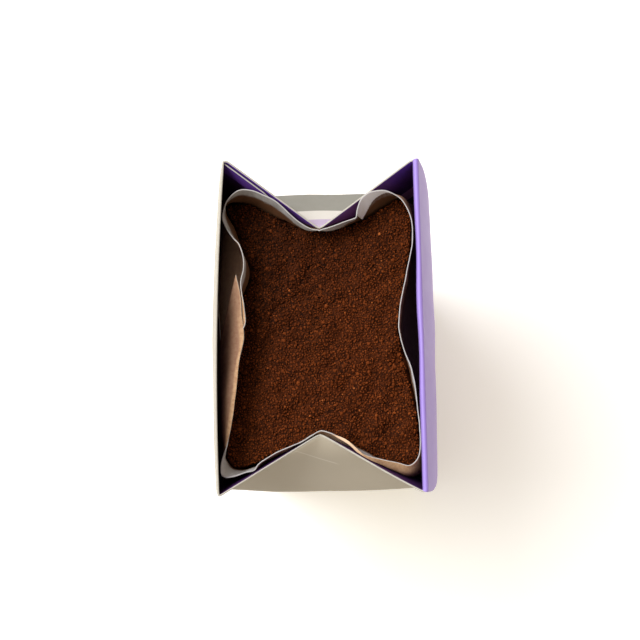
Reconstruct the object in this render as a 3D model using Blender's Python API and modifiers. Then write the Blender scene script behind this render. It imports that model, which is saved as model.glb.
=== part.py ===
"""An opened pack of ground coffee: a folded paperboard carton, the paper bag in it, and the coffee.

The carton is a flat-bottomed box whose two narrow walls fold in as gussets at the top, so its rim
dips to an apex at the back and at the front. The bag stands inside with a wavy free rim. The coffee
fills the bag to a little below that rim. The origin is the middle of the base, +Z is up, the wide
walls face -X and +X, and the gussets are at -Y (front) and +Y (back). Sizes are in metres.
"""

import math

import bmesh
import bpy
import numpy as np

# ---- carton: one sheet of board ----
BOARD = 0.0005  # thickness of the board
BASE_HALF = (0.0358, 0.0495)  # half width and half depth of the base
BASE_EDGE = 0.0010  # how far the folded base edge is rounded off
SHOULDER_Z = 0.1300  # height where the walls start to lean in
WIDE_BULGE = 0.0024  # how far the contents push the wide walls out at mid height
NARROW_BULGE = 0.0011  # the same for the narrow walls
BULGE_AT_SHOULDER = {"left": 0.0020, "right": 0.0006, "back": 0.0009, "front": 0.0013}
POST_BULGE = 0.0008  # how far the corner folds above the shoulder curve outwards
LEFT_RIM_BOW = 0.0014  # how far the left rim bows outwards between its corners
WING_BOW = 0.0006  # how far the front right wing of the gusset bows outwards

# Where the vertical corner folds meet the shoulder, and where they end at the rim.
SHOULDER = {
    "back_left": (-0.0351, 0.0493),
    "back_right": (0.0365, 0.0493),
    "front_right": (0.0352, -0.0490),
    "front_left": (-0.0349, -0.0488),
}
RIM = {
    "back_left": (-0.0289, 0.0508, 0.1615),
    "back_right": (0.0313, 0.0504, 0.1593),
    "front_right": (0.0301, -0.0500, 0.1593),
    "front_left": (-0.0295, -0.0500, 0.1615),
}
APEX = {"back": (0.0001, 0.0309, 0.1530), "front": (-0.0005, -0.0339, 0.1550)}

# The right wall ends in a hem: the board rolls over and back down inside.
HEM_RADIUS = 0.0007
HEM_STEPS = 4
HEM_DROP = 0.0026  # how far the hem's inner layer hangs down
HEM_TRIM = 0.0022  # how much shorter the inner layer is at each end

# ---- bag: one sheet of paper ----
BAG_GAP = 0.0005  # room between the board and the bag
COFFEE_GAP = 0.0008  # room between the bag and the coffee
PAPER = 0.00035  # thickness of the bag's wall
BAG_CORNER = 0.0065  # radius of the bag's upright corners
COFFEE_Z = 0.1465  # height of the coffee along the bag's wall

# The bag's free rim, seen from above and going clockwise, one run for each stretch between a
# corner and a gusset apex. Each point is x, y and height, in millimetres.
BAG_RIM_MM = {
    "back_left_wing": [
        (-27.2, 41.0, 157.0), (-24.0, 42.8, 157.0), (-20.8, 42.5, 157.0), (-17.3, 41.1, 157.0),
        (-13.3, 38.6, 156.5), (-9.9, 35.6, 155.5), (-6.0, 32.0, 154.0), (-2.6, 29.7, 153.2),
    ],
    "back_right_wing": [
        (0.2, 29.2, 153.0), (4.0, 29.9, 153.5), (8.0, 31.5, 154.5), (11.6, 32.8, 155.5),
        (12.3, 35.2, 156.5), (13.6, 37.8, 157.0), (16.2, 39.6, 157.5), (20.6, 40.9, 157.5),
        (24.4, 39.0, 157.0),
    ],
    "right_wall": [
        (26.6, 36.6, 157.0), (28.9, 30.0, 156.5), (28.9, 23.6, 156.5), (26.9, 14.8, 156.5),
        (24.9, 6.5, 156.5), (23.8, -2.0, 156.5), (25.6, -10.1, 156.5), (27.8, -19.0, 156.5),
        (28.6, -31.0, 156.5), (28.6, -37.0, 156.5),
    ],
    "front_right_wing": [
        (27.6, -40.8, 156.5), (24.4, -42.6, 156.5), (18.4, -41.0, 156.5), (13.2, -39.3, 156.0),
        (11.4, -38.2, 155.5), (5.4, -34.5, 155.5),
    ],
    "front_left_wing": [
        (-0.3, -32.2, 155.0), (-2.6, -33.0, 155.5), (-7.4, -35.9, 156.0), (-13.0, -37.9, 156.5),
        (-17.6, -40.6, 156.5), (-19.6, -43.0, 156.5), (-24.0, -44.1, 157.0), (-26.6, -44.9, 157.0),
    ],
    "left_wall": [
        (-28.3, -44.2, 157.0), (-28.6, -39.5, 157.0), (-27.2, -33.7, 156.5), (-25.6, -22.6, 156.0),
        (-24.4, -12.7, 155.5), (-22.9, -3.9, 155.5), (-23.2, 6.2, 156.0), (-24.1, 12.8, 156.5),
        (-23.1, 19.8, 157.0), (-25.0, 25.6, 157.0), (-28.2, 31.5, 157.0), (-28.6, 37.6, 157.0),
    ],
}

# The bag's outline at the height of the coffee, run by run in the same order: x and y.
BAG_AT_COFFEE_MM = {
    "back_left_wing": [
        (-29.0, 40.9), (-24.0, 42.0), (-20.7, 41.0), (-17.3, 38.9), (-13.0, 36.3), (-9.3, 34.6),
        (-4.5, 34.5),
    ],
    "back_right_wing": [
        (0.2, 34.2), (5.0, 34.2), (9.5, 34.3), (13.0, 35.7), (17.1, 37.7), (21.4, 40.2),
        (25.0, 41.8),
    ],
    "right_wall": [
        (28.0, 41.2), (30.3, 37.0), (31.0, 28.0), (30.0, 15.0), (27.6, 0.0), (28.8, -12.0),
        (30.8, -26.0), (30.9, -37.0),
    ],
    "front_right_wing": [
        (29.3, -41.9), (26.6, -44.0), (23.0, -43.0), (18.5, -41.0), (14.0, -38.6), (10.5, -37.4),
        (5.0, -37.2),
    ],
    "front_left_wing": [
        (-0.5, -37.1), (-6.0, -37.2), (-11.0, -37.5), (-16.0, -39.5), (-21.0, -41.9),
        (-25.4, -43.0),
    ],
    "left_wall": [
        (-28.4, -42.3), (-30.5, -38.5), (-31.0, -30.0), (-30.8, -15.0), (-29.5, -1.0),
        (-27.2, 7.0), (-24.5, 12.5), (-23.1, 19.0), (-25.2, 27.6), (-27.8, 33.6), (-30.0, 37.8),
    ],
}

# ---- coffee ----
COFFEE_RINGS = (0.94, 0.84, 0.70, 0.54, 0.37, 0.19)  # shares of the way out from the middle
COFFEE_RELIEF = 0.0009  # how far the top rises and falls
COFFEE_CROWN = 0.0010  # how much higher the middle stands than the edge

# ---- facets ----
GUSSET_STEPS = 6  # board facets from a corner to the apex, and from the shoulder to the rim
WALL_MARKS = (1.0, 0.96, 0.86, 0.70, 0.48, 0.24)  # board facet lines from a corner to mid wall
BODY_HEIGHTS = (0.0012, 0.030, 0.065, 0.100)  # board facet lines below the shoulder
BAG_RUN_STEPS = {
    "back_left_wing": 12,
    "back_right_wing": 16,
    "right_wall": 16,
    "front_right_wing": 12,
    "front_left_wing": 14,
    "left_wall": 20,
}
BAG_BODY_HEIGHTS = (0.0025, 0.065)
BAG_TOP_TS = (0.0, 0.25, 0.5, 0.75)  # shares of the way from the shoulder to the coffee's height
BAG_FREE_STEPS = 4  # facets from the coffee's height to the free rim

MM = 0.001
SIDES = {"back": 1, "front": -1}
WALLS = {"left": -1, "right": 1}
# How far a fold point moves for each unit that every wall of the carton moves inwards.
SHOULDER_MOVE = (1.0, 1.65)
RIM_MOVE = (1.05, 1.75)
APEX_MOVE = 1.30

COLOURS = {
    "carton": ((0.66, 0.55, 0.82, 1.0), 0.55),
    "bag": ((0.62, 0.44, 0.27, 1.0), 0.7),
    "coffee": ((0.075, 0.03, 0.012, 1.0), 0.9),
}


def corner_sign(name):
    """The signs of a corner's x and y, from its name."""
    side, wall = name.split("_")
    return np.array([WALLS[wall], SIDES[side]])


def fold_points(inset):
    """The carton's fold points when all its walls are moved inwards by inset.

    Returns the shoulder corners, the rim corners and the apexes, each as name to point.
    """
    shoulder = {}
    rim = {}
    for name in RIM:
        sign = corner_sign(name)
        plan = np.array(SHOULDER[name]) - sign * inset * np.array(SHOULDER_MOVE)
        shoulder[name] = np.array([*plan, SHOULDER_Z])
        plan = np.array(RIM[name][:2]) - sign * inset * np.array(RIM_MOVE)
        rim[name] = np.array([*plan, RIM[name][2]])
    apex = {}
    for side, sign in SIDES.items():
        x, y, z = APEX[side]
        apex[side] = np.array([x, y - sign * inset * APEX_MOVE, z])
    return shoulder, rim, apex


def smooth_step(value):
    """Rises from 0 to 1 with level ends as value goes from 0 to 1."""
    value = np.clip(value, 0.0, 1.0)
    return value * value * (3.0 - 2.0 * value)


def body_column(along, sign, start, end, height, bulges, inset):
    """Points up one wall below the shoulder.

    along runs from -1 to 1 across the wall; start and end are the wall's shoulder corners. The
    contents push the wall out by bulges = (mid height, shoulder).
    """
    share = (along[None, :] + 1.0) / 2.0
    rise = (height / SHOULDER_Z)[:, None]
    foot = []
    for point in (start, end):
        corner = np.sign(point[:2])
        foot.append(corner * (np.array(BASE_HALF) - inset))
    low = foot[0][:, None, None] * (1 - share) + foot[1][:, None, None] * share
    top = start[:2, None, None] * (1 - share) + end[:2, None, None] * share
    plan = low * (1 - rise) + top * rise
    across = 1.0 - along[None, :] ** 2
    push = bulges[0] * np.sin(math.pi * rise) + bulges[1] * rise**4
    plan = plan + np.array(sign)[:, None, None] * (push * across)[None]
    z = np.broadcast_to(height[:, None], plan.shape[1:])
    return np.stack([plan[0], plan[1], z], axis=-1)


def gusset(side, s, t, points, inset_bulge):
    """Points of one gusset above the shoulder, as a folded flat sheet.

    s runs from -1 to 1 across the flat sheet and t from 0 at the shoulder to 1 at its top edge.
    Below the creases, where t + |s| is under 1, the sheet is the leaning triangle that ends in the
    apex. Beyond them it is one of the two wings that stand between the apex and a corner.
    """
    shoulder, rim, apex = points
    left = shoulder[side + "_left"]
    right = shoulder[side + "_right"]
    tip = apex[side]
    s = s[..., None]
    t = t[..., None]
    middle = (left + right) / 2.0
    triangle = middle + s * (right - left) / 2.0 + t * (tip - middle)
    wings = []
    for wall, foot in (("left", left), ("right", right)):
        corner = rim[side + "_" + wall]
        wings.append(corner + (1.0 - np.abs(s)) * (tip - corner) + (1.0 - t) * (foot - corner))
    wing = np.where(s < 0, wings[0], wings[1])
    below = t + np.abs(s) <= 1.0 + 1e-9
    reach = np.where(below, 0.0, (np.abs(s) + t - 1.0) / np.maximum(t, 1e-9))
    shape = np.where(below, triangle, wing)
    outward = SIDES[side]
    bulge = np.clip(1.0 - t / np.maximum(1.0 - np.abs(s), 1e-9), 0.0, 1.0) * (1.0 - s**2)
    shape[..., 1:2] += outward * inset_bulge * bulge
    shape[..., 0:1] += np.sign(s) * POST_BULGE * np.sin(math.pi * t) * reach
    if side == "front":
        bow = np.sin(math.pi * np.clip(s, 0.0, 1.0)) * reach
        shape[..., 1:2] -= WING_BOW * bow
    return shape


def wide_wall(wall, v, t, points, bulge):
    """Points of one wide wall above the shoulder; v is 1 at the back corner and -1 at the front."""
    shoulder, rim, _ = points
    share = ((v + 1.0) / 2.0)[..., None]
    low = shoulder["front_" + wall] * (1 - share) + shoulder["back_" + wall] * share
    top = rim["front_" + wall] * (1 - share) + rim["back_" + wall] * share
    t = t[..., None]
    shape = low * (1 - t) + top * t
    across = (1.0 - v**2)[..., None]
    bow = LEFT_RIM_BOW if wall == "left" else 0.0
    push = (bulge * (1 - t) + bow * t) * across + POST_BULGE * np.sin(math.pi * t)
    shape[..., 0:1] += WALLS[wall] * push
    return shape


def board_surface(inset, heights, spans):
    """The carton's outer surface moved inwards by inset.

    heights are the facet heights below the shoulder. spans is a list of runs round the pack,
    clockwise from above; each is (kind, name, values, ts), with one array of shares t above the
    shoulder for each column. Returns an array of rows, columns and xyz.
    """
    points = fold_points(inset)
    shoulder = points[0]
    blocks = []
    for kind, name, values, ts in spans:
        if kind == "gusset":
            ends = (shoulder[name + "_left"], shoulder[name + "_right"])
            sign = (0, SIDES[name])
            bulges = (NARROW_BULGE, BULGE_AT_SHOULDER[name])
        else:
            ends = (shoulder["front_" + name], shoulder["back_" + name])
            sign = (WALLS[name], 0)
            bulges = (WIDE_BULGE, BULGE_AT_SHOULDER[name])
        body = body_column(values, sign, ends[0], ends[1], heights, bulges, inset)
        across = np.broadcast_to(values, ts.shape)
        if kind == "gusset":
            top = gusset(name, across, ts, points, bulges[1])
        else:
            top = wide_wall(name, across, ts, points, bulges[1])
        blocks.append(np.concatenate([body, top], axis=0))
    return np.concatenate(blocks, axis=1)


def grid_faces(rows, columns, flip_diagonal=None):
    """Triangles of a sheet that closes on itself sideways, facing out, from a rows x columns grid.

    flip_diagonal says for each column which way its squares are cut.
    """
    faces = []
    for row in range(rows - 1):
        for column in range(columns):
            after = (column + 1) % columns
            a = row * columns + column
            b = row * columns + after
            c = (row + 1) * columns + after
            d = (row + 1) * columns + column
            if flip_diagonal is not None and flip_diagonal[column]:
                faces += [(a, d, b), (b, d, c)]
            else:
                faces += [(a, c, b), (a, d, c)]
    return faces


def close_foot(vertices, faces, columns):
    """Closes the first row of a grid with triangles that meet in the middle of the base."""
    middle = np.mean(vertices[:columns], axis=0)
    hub = len(vertices)
    vertices.append(middle)
    for column in range(columns):
        faces.append((column, (column + 1) % columns, hub))


def new_object(name, vertices, faces, collection):
    """A mesh object with its own material, in the given collection."""
    mesh = bpy.data.meshes.new(name)
    mesh.from_pydata([tuple(v) for v in vertices], [], faces)
    mesh.validate()
    colour, roughness = COLOURS[name]
    material = bpy.data.materials.new(name)
    material.use_nodes = True
    shader = material.node_tree.nodes["Principled BSDF"]
    shader.inputs["Base Color"].default_value = colour
    shader.inputs["Roughness"].default_value = roughness
    shader.inputs["Metallic"].default_value = 0.0
    material.diffuse_color = colour
    mesh.materials.append(material)
    piece = bpy.data.objects.new(name, mesh)
    collection.objects.link(piece)
    return piece


def add_wall(piece, thickness):
    """Gives an open sheet its thickness, all of it on the inner side."""
    solid = piece.modifiers.new("wall", "SOLIDIFY")
    solid.thickness = thickness
    solid.offset = -1.0
    solid.use_even_offset = True
    solid.use_quality_normals = True


def make_carton(collection):
    """The folded carton: base, body, gussets and the hem on the right rim."""
    steps = GUSSET_STEPS
    s = np.linspace(-1.0, 1.0, 2 * steps + 1)
    v = np.array([*WALL_MARKS, 0.0, *[-mark for mark in reversed(WALL_MARKS)]])
    t = np.linspace(0.0, 1.0, steps + 1)
    heights = np.array([0.0, *BODY_HEIGHTS])
    spans = []
    for kind, name, values in (
        ("gusset", "back", s[:-1]),
        ("wall", "right", v[:-1]),
        ("gusset", "front", -s[:-1]),
        ("wall", "left", -v[:-1]),
    ):
        spans.append((kind, name, values, np.repeat(t[:, None], len(values), axis=1)))
    surface = board_surface(0.0, heights, spans)
    base_row = surface[0].copy()
    pull = 1.0 - BASE_EDGE / np.array(BASE_HALF)
    base_row[:, :2] *= pull
    surface[0] = base_row
    rows, columns, _ = surface.shape
    vertices = list(surface.reshape(-1, 3))

    # The squares of a gusset are cut along its creases, which rise to the apex and fall again.
    count = 2 * steps
    flip = [False] * columns
    for column in range(steps, count):
        flip[column] = True
        flip[count + len(v) - 1 + column] = True
    faces = grid_faces(rows, columns, flip)
    close_foot(vertices, faces, columns)

    # The hem carries on over the right rim.
    first = count
    hem_columns = list(range(first + 1, first + len(v) - 2))
    rim_row = surface[-1][hem_columns]
    middle_y = (rim_row[0, 1] + rim_row[-1, 1]) / 2.0
    half_y = (rim_row[0, 1] - rim_row[-1, 1]) / 2.0
    below = [(rows - 1) * columns + column for column in hem_columns]
    profile = []
    for step in range(1, HEM_STEPS + 1):
        angle = math.pi * step / HEM_STEPS
        over = HEM_RADIUS * (1.0 - math.cos(angle))
        profile.append((over, HEM_RADIUS * math.sin(angle)))
    profile.append((2.0 * HEM_RADIUS, -HEM_DROP))
    for over, up in profile:
        share = over / (2.0 * HEM_RADIUS)
        squeeze = 1.0 - HEM_TRIM * share**2 / half_y
        above = []
        for point in rim_row:
            y = middle_y + (point[1] - middle_y) * squeeze
            above.append(len(vertices))
            vertices.append(np.array([point[0] - over, y, point[2] + up]))
        for k in range(len(below) - 1):
            faces.append((below[k], above[k], above[k + 1], below[k + 1]))
        below = above
    carton = new_object("carton", vertices, faces, collection)
    add_wall(carton, BOARD)
    return carton


def smooth_run(points, count):
    """count + 1 evenly spaced points along a smooth curve through the second to the last but one.

    The curve is a Catmull-Rom spline: between two points it leaves and arrives in the direction
    of the line joining the neighbours on either side. The first and last points only steer it.
    """
    points = np.asarray(points, float)
    fine = []
    share = np.linspace(0.0, 1.0, 12, endpoint=False)[:, None]
    for k in range(1, len(points) - 2):
        before, start, end, after = points[k - 1 : k + 3]
        fine.append(
            0.5
            * (
                2.0 * start
                + (end - before) * share
                + (2.0 * before - 5.0 * start + 4.0 * end - after) * share**2
                + (3.0 * start - 3.0 * end + after - before) * share**3
            )
        )
    fine = np.concatenate([*fine, points[-2:-1]])
    length = np.concatenate([[0.0], np.cumsum(np.linalg.norm(np.diff(fine, axis=0), axis=1))])
    wanted = np.linspace(0.0, length[-1], count + 1)
    return np.stack([np.interp(wanted, length, fine[:, axis]) for axis in range(3)], axis=1)


def bag_loop(runs):
    """A closed loop of the bag from its runs of points, as one array of points per column."""
    names = list(runs)
    loop = []
    for k, name in enumerate(names):
        before = runs[names[k - 1]]
        after = runs[names[(k + 1) % len(names)]]
        points = [before[-1], *runs[name], after[0], after[1]]
        loop.append(smooth_run(points, BAG_RUN_STEPS[name])[:-1])
    return np.concatenate(loop) * MM


def shrink(loop, distance):
    """A loop seen from above moved inwards by distance; it runs clockwise."""
    along = np.roll(loop, -1, axis=0)[:, :2] - np.roll(loop, 1, axis=0)[:, :2]
    along /= np.linalg.norm(along, axis=1)[:, None]
    inward = np.stack([along[:, 1], -along[:, 0]], axis=1)
    moved = loop.copy()
    moved[:, :2] += distance * inward
    return moved


def round_corners(rows, inset):
    """Pulls a bag row's upright corners in to a round of BAG_CORNER, by its distance from both walls."""
    radius = max(BAG_CORNER - inset, MM)
    rounded = rows.copy()
    extent = np.abs(rows[..., :2]).max(axis=1, keepdims=True)
    reach = radius - (extent - np.abs(rows[..., :2]))
    inside = np.clip(reach, 0.0, None)
    both = np.all(inside > 0, axis=-1, keepdims=True)
    length = np.linalg.norm(inside, axis=-1, keepdims=True)
    factor = np.where(both & (length > radius), radius / np.maximum(length, 1e-9), 1.0)
    rounded[..., :2] -= np.sign(rows[..., :2]) * inside * (1.0 - factor)
    return rounded


def bag_surface(inset):
    """The bag's outer surface moved inwards by inset, as rows of points from its foot to its rim.

    Below, it lines the board. Above the shoulder it leaves the board bit by bit and goes through
    its own outline at the coffee's height to its own free rim. Returns the rows and the index of
    the row at the coffee's height.
    """
    wall = BOARD + BAG_GAP + inset
    spans_of = {
        "back_left_wing": ("gusset", "back", -1.0, 0.0),
        "back_right_wing": ("gusset", "back", 0.0, 1.0),
        "right_wall": ("wall", "right", 1.0, -1.0),
        "front_right_wing": ("gusset", "front", 1.0, 0.0),
        "front_left_wing": ("gusset", "front", 0.0, -1.0),
        "left_wall": ("wall", "left", -1.0, 1.0),
    }
    fine_t = np.linspace(0.0, 1.0, 41)
    spans = []
    for run, (kind, name, start, end) in spans_of.items():
        values = np.linspace(start, end, BAG_RUN_STEPS[run] + 1)[:-1]
        spans.append((kind, name, values, np.repeat(fine_t[:, None], len(values), axis=1)))
    heights = np.array([0.0, *BAG_BODY_HEIGHTS])
    lining = board_surface(wall, heights, spans)
    body = lining[: len(heights)]
    body = round_corners(body, inset)
    body[0, :, 2] = wall
    body[0, :, :2] *= 1.0 - BASE_EDGE / np.array(BASE_HALF)
    leaning = lining[len(heights) :]

    coffee_runs = {name: [(x, y, 0.0) for x, y in run] for name, run in BAG_AT_COFFEE_MM.items()}
    at_coffee = shrink(bag_loop(coffee_runs), inset)
    at_coffee[:, 2] = COFFEE_Z
    at_rim = shrink(bag_loop(BAG_RIM_MM), inset)
    columns = leaning.shape[1]
    top = []
    level = np.array([np.interp(COFFEE_Z, leaning[:, k, 2], fine_t) for k in range(columns)])
    index = np.arange(columns)

    def lining_at(t):
        """The lining's point in each column at its own share t."""
        place = t * (len(fine_t) - 1)
        low = np.clip(place.astype(int), 0, len(fine_t) - 2)
        share = (place - low)[:, None]
        return leaning[low, index] * (1 - share) + leaning[low + 1, index] * share

    at_shoulder = lining_at(np.zeros(columns))
    away_at_shoulder = round_corners(at_shoulder[None], inset)[0] - at_shoulder
    away_at_coffee = at_coffee - lining_at(level)
    away_at_rim = at_rim - lining_at(np.ones(columns))
    for share in BAG_TOP_TS:
        free = smooth_step(share)
        away = away_at_shoulder * (1 - free) + away_at_coffee * free
        top.append(lining_at(level * share) + away)
    coffee_row = len(heights) + len(top)
    for step in range(BAG_FREE_STEPS + 1):
        share = step / BAG_FREE_STEPS
        t = level + (1.0 - level) * share
        away = away_at_coffee * (1 - share) + away_at_rim * share
        top.append(lining_at(t) + away)
    return np.concatenate([body, np.array(top)]), coffee_row


def make_bag(collection):
    """The paper bag: closed below, open above, with its wavy free rim."""
    rows, _ = bag_surface(0.0)
    count, columns, _ = rows.shape
    vertices = list(rows.reshape(-1, 3))
    faces = grid_faces(count, columns)
    close_foot(vertices, faces, columns)
    bag = new_object("bag", vertices, faces, collection)
    add_wall(bag, PAPER)
    bag.data.shade_smooth()
    return bag


def relief(x, y):
    """Gentle unevenness of the coffee's top, from -1 to 1: a few crossed waves of odd lengths."""
    waves = np.sin(x / 0.0083 + 0.7) * np.cos(y / 0.0117 - 0.4)
    waves = waves + 0.6 * np.sin((x + y) / 0.0061) * np.cos((x - 1.7 * y) / 0.0094 + 1.1)
    return waves / 1.6


def make_coffee(collection):
    """The ground coffee: fills the bag up to its uneven, slightly crowned top."""
    rows, coffee_row = bag_surface(PAPER + COFFEE_GAP)
    side = rows[: coffee_row + 1]
    columns = side.shape[1]
    rim = side[-1]
    centre = rim.mean(axis=0)
    rings = []
    for share in COFFEE_RINGS:
        ring = centre + (rim - centre) * share
        lift = 1.0 - smooth_step((share - 0.6) / 0.4)
        ring[:, 2] = COFFEE_Z + COFFEE_CROWN * lift
        ring[:, 2] += COFFEE_RELIEF * relief(ring[:, 0], ring[:, 1]) * min(1.0, 4 * (1 - share))
        rings.append(ring)
    sheet = np.concatenate([side, np.array(rings)])
    count = len(sheet)
    vertices = [*sheet.reshape(-1, 3), centre + np.array([0.0, 0.0, COFFEE_CROWN])]
    faces = grid_faces(count, columns)
    last = (count - 1) * columns
    tip = len(vertices) - 1
    for column in range(columns):
        faces.append((last + column, tip, last + (column + 1) % columns))
    close_foot(vertices, faces, columns)
    coffee = new_object("coffee", vertices, faces, collection)
    coffee.data.shade_smooth()
    return coffee


def centre_on_base(pieces):
    """Moves the meshes so that the box round them all stands centred over the origin."""
    bpy.context.view_layer.update()
    graph = bpy.context.evaluated_depsgraph_get()
    corners = []
    for piece in pieces:
        shown = piece.evaluated_get(graph)
        corners += [shown.matrix_world @ vertex.co for vertex in shown.data.vertices]
    low = [min(corner[axis] for corner in corners) for axis in range(3)]
    high = [max(corner[axis] for corner in corners) for axis in range(3)]
    for piece in pieces:
        for vertex in piece.data.vertices:
            vertex.co.x -= (low[0] + high[0]) / 2.0
            vertex.co.y -= (low[1] + high[1]) / 2.0
            vertex.co.z -= low[2]


def main():
    """Clears the scene and builds the three pieces."""
    for old in list(bpy.data.objects):
        bpy.data.objects.remove(old)
    collection = bpy.data.collections.new("coffee_pack")
    bpy.context.scene.collection.children.link(collection)
    pieces = [make_carton(collection), make_bag(collection), make_coffee(collection)]
    for piece in pieces:
        sheet = bmesh.new()
        sheet.from_mesh(piece.data)
        bmesh.ops.recalc_face_normals(sheet, faces=sheet.faces)
        sheet.to_mesh(piece.data)
        sheet.free()
    centre_on_base(pieces)


main()
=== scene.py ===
"""Dresses the opened pack of ground coffee: the folded printed carton, the paper bag inside it with its
wavy free rim, and the grounds, on a pale studio floor.

Shapes are worked out in millimetres in the pack's own drafting frame: the origin is the middle of the
base, +Z is up, the wide walls face -X and +X, and the gussets are at -Y (front) and +Y (back). Each
finished mesh is then moved onto the CAD and turned into metres.
"""

import logging
import math
from dataclasses import dataclass, field
from enum import Enum, IntEnum
from typing import Any

import bpy
import numpy as np
from mathutils import Matrix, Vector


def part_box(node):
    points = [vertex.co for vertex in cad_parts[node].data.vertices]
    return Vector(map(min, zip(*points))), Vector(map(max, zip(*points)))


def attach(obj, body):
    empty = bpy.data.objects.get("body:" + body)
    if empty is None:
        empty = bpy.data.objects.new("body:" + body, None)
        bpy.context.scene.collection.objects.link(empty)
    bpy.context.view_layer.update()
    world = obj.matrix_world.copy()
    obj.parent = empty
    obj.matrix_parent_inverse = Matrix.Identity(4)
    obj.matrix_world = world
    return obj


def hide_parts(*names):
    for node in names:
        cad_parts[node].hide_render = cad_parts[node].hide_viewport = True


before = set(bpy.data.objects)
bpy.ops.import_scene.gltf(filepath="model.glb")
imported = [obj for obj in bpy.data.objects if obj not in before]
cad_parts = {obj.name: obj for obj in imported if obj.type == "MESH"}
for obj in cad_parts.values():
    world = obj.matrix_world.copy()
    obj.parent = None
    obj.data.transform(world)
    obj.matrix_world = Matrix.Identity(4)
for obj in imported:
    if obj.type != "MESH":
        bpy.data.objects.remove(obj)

LOG = logging.getLogger("coffee_pack")
Array = np.ndarray
MM = 0.001
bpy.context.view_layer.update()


class Face(Enum):
    """The carton's upright faces, clockwise from above."""

    BACK = "back"
    RIGHT = "right"
    FRONT = "front"
    LEFT = "left"


class Layer(IntEnum):
    """The material slots of a piece of sheet: its outer side, its inner side and its cut edge."""

    OUTSIDE = 0
    INSIDE = 1
    CUT = 2


# ---------------------------------------------------------------- arithmetic on whole arrays


def smooth_step(value: Array | float) -> Array:
    """Rises from 0 to 1 with level ends as value goes from 0 to 1: 3v^2 - 2v^3."""
    value = np.clip(value, 0.0, 1.0)
    return value * value * (3.0 - 2.0 * value)


def soft_ramp(value: Array, width: float) -> Array:
    """Zero below 0 and value above it, with the corner rounded: half of v + sqrt(v^2 + width^2)."""
    return 0.5 * (value + np.sqrt(value * value + width * width))


def hump(value: Array, centre: float, width: float) -> Array:
    """A bell that is 1 at centre and falls off over width: exp(-((v - centre) / width)^2)."""
    return np.exp(-(((value - centre) / width) ** 2))


def waves(x: Array, y: Array, length: float, seed: int, count: int = 9) -> Array:
    """A smooth uneven field between about -1 and 1.

    It is the sum of sine waves with seeded directions, phases and lengths near the given one,
    divided by the root of half their number.

    Args:
        x: first coordinate.
        y: second coordinate.
        length: typical wavelength, in the same unit.
        seed: which field.
        count: number of waves.

    Returns:
        The field at each point.
    """
    rng = np.random.default_rng(seed)
    total = np.zeros(np.broadcast(x, y).shape)
    for angle, phase, size in zip(
        rng.uniform(0.0, math.tau, count),
        rng.uniform(0.0, math.tau, count),
        rng.uniform(0.6, 1.7, count),
    ):
        along = x * math.cos(angle) + y * math.sin(angle)
        total = total + np.sin(math.tau * along / (length * size) + phase)
    return total / math.sqrt(count / 2.0)


def curve_through(points: Array, count: int) -> Array:
    """Evenly spaced points on a smooth curve through the second to the last but one of the given.

    Between two points the curve is the Catmull-Rom cubic, which leaves and arrives in the direction
    of the line that joins the neighbours on either side. The first and last points only steer it.

    Args:
        points: control points, one to a row.
        count: number of even steps.

    Returns:
        count + 1 points.
    """
    points = np.asarray(points, float)
    steps = 16
    share = np.tile(np.linspace(0.0, 1.0, steps, endpoint=False), len(points) - 3)[:, None]
    span = np.repeat(np.arange(1, len(points) - 2), steps)
    before, start, end, after = (points[span + k] for k in (-1, 0, 1, 2))
    fine = 0.5 * (
        2.0 * start
        + (end - before) * share
        + (2.0 * before - 5.0 * start + 4.0 * end - after) * share**2
        + (3.0 * start - 3.0 * end + after - before) * share**3
    )
    fine = np.concatenate([fine, points[-2:-1]])
    length = np.concatenate([[0.0], np.cumsum(np.linalg.norm(np.diff(fine, axis=0), axis=1))])
    wanted = np.linspace(0.0, length[-1], count + 1)
    return np.stack([np.interp(wanted, length, fine[:, axis]) for axis in range(fine.shape[1])], axis=1)


def soften(points: Array, passes: int, axis: int, closed: bool) -> Array:
    """Rounds a grid's folds: each pass replaces a point by a quarter, a half and a quarter of its run.

    Args:
        points: rows, columns and xyz.
        passes: how often.
        axis: 0 to smooth up the columns, 1 to smooth along the rows.
        closed: whether that direction closes on itself; if not, its two ends stay.

    Returns:
        The smoothed grid.
    """
    for _ in range(passes):
        mixed = 0.5 * points + 0.25 * (np.roll(points, 1, axis) + np.roll(points, -1, axis))
        if not closed:
            ends = [slice(None)] * points.ndim
            for end in (0, -1):
                ends[axis] = end
                mixed[tuple(ends)] = points[tuple(ends)]
        points = mixed
    return points


def grid_quads(rows: int, columns: int, closed: bool) -> tuple[Array, Array]:
    """The squares of a grid whose columns go clockwise and whose rows go up, facing out.

    Args:
        rows: number of rows.
        columns: number of columns.
        closed: whether the last column is joined to the first.

    Returns:
        The corners' point numbers, and their numbers on a grid that has one more column if closed,
        which is where a map that doesn't close on itself keeps its values.
    """
    wide = columns + 1 if closed else columns
    row, column = np.meshgrid(np.arange(rows - 1), np.arange(wide - 1), indexing="ij")
    row, column = row.reshape(-1, 1), column.reshape(-1, 1)
    up = np.array([[0, 1, 1, 0]])
    along = np.array([[0, 0, 1, 1]])
    points = (row + up) * columns + (column + along) % columns
    return points, (row + up) * wide + column + along


def inside_loop(x: Array, y: Array, loop: Array) -> Array:
    """Which points lie in a closed loop: those from which a ray crosses it an odd number of times."""
    x0, y0 = loop[:, 0], loop[:, 1]
    x1, y1 = np.roll(x0, -1), np.roll(y0, -1)
    spans = (y0[None] > y[:, None]) != (y1[None] > y[:, None])
    rise = np.where(np.abs(y1 - y0) < 1e-9, 1e-9, y1 - y0)
    meets = x0[None] + (y[:, None] - y0[None]) * ((x1 - x0) / rise)[None]
    return (spans & (x[:, None] < meets)).sum(axis=1) % 2 == 1


# ---------------------------------------------------------------- meshes


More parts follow.
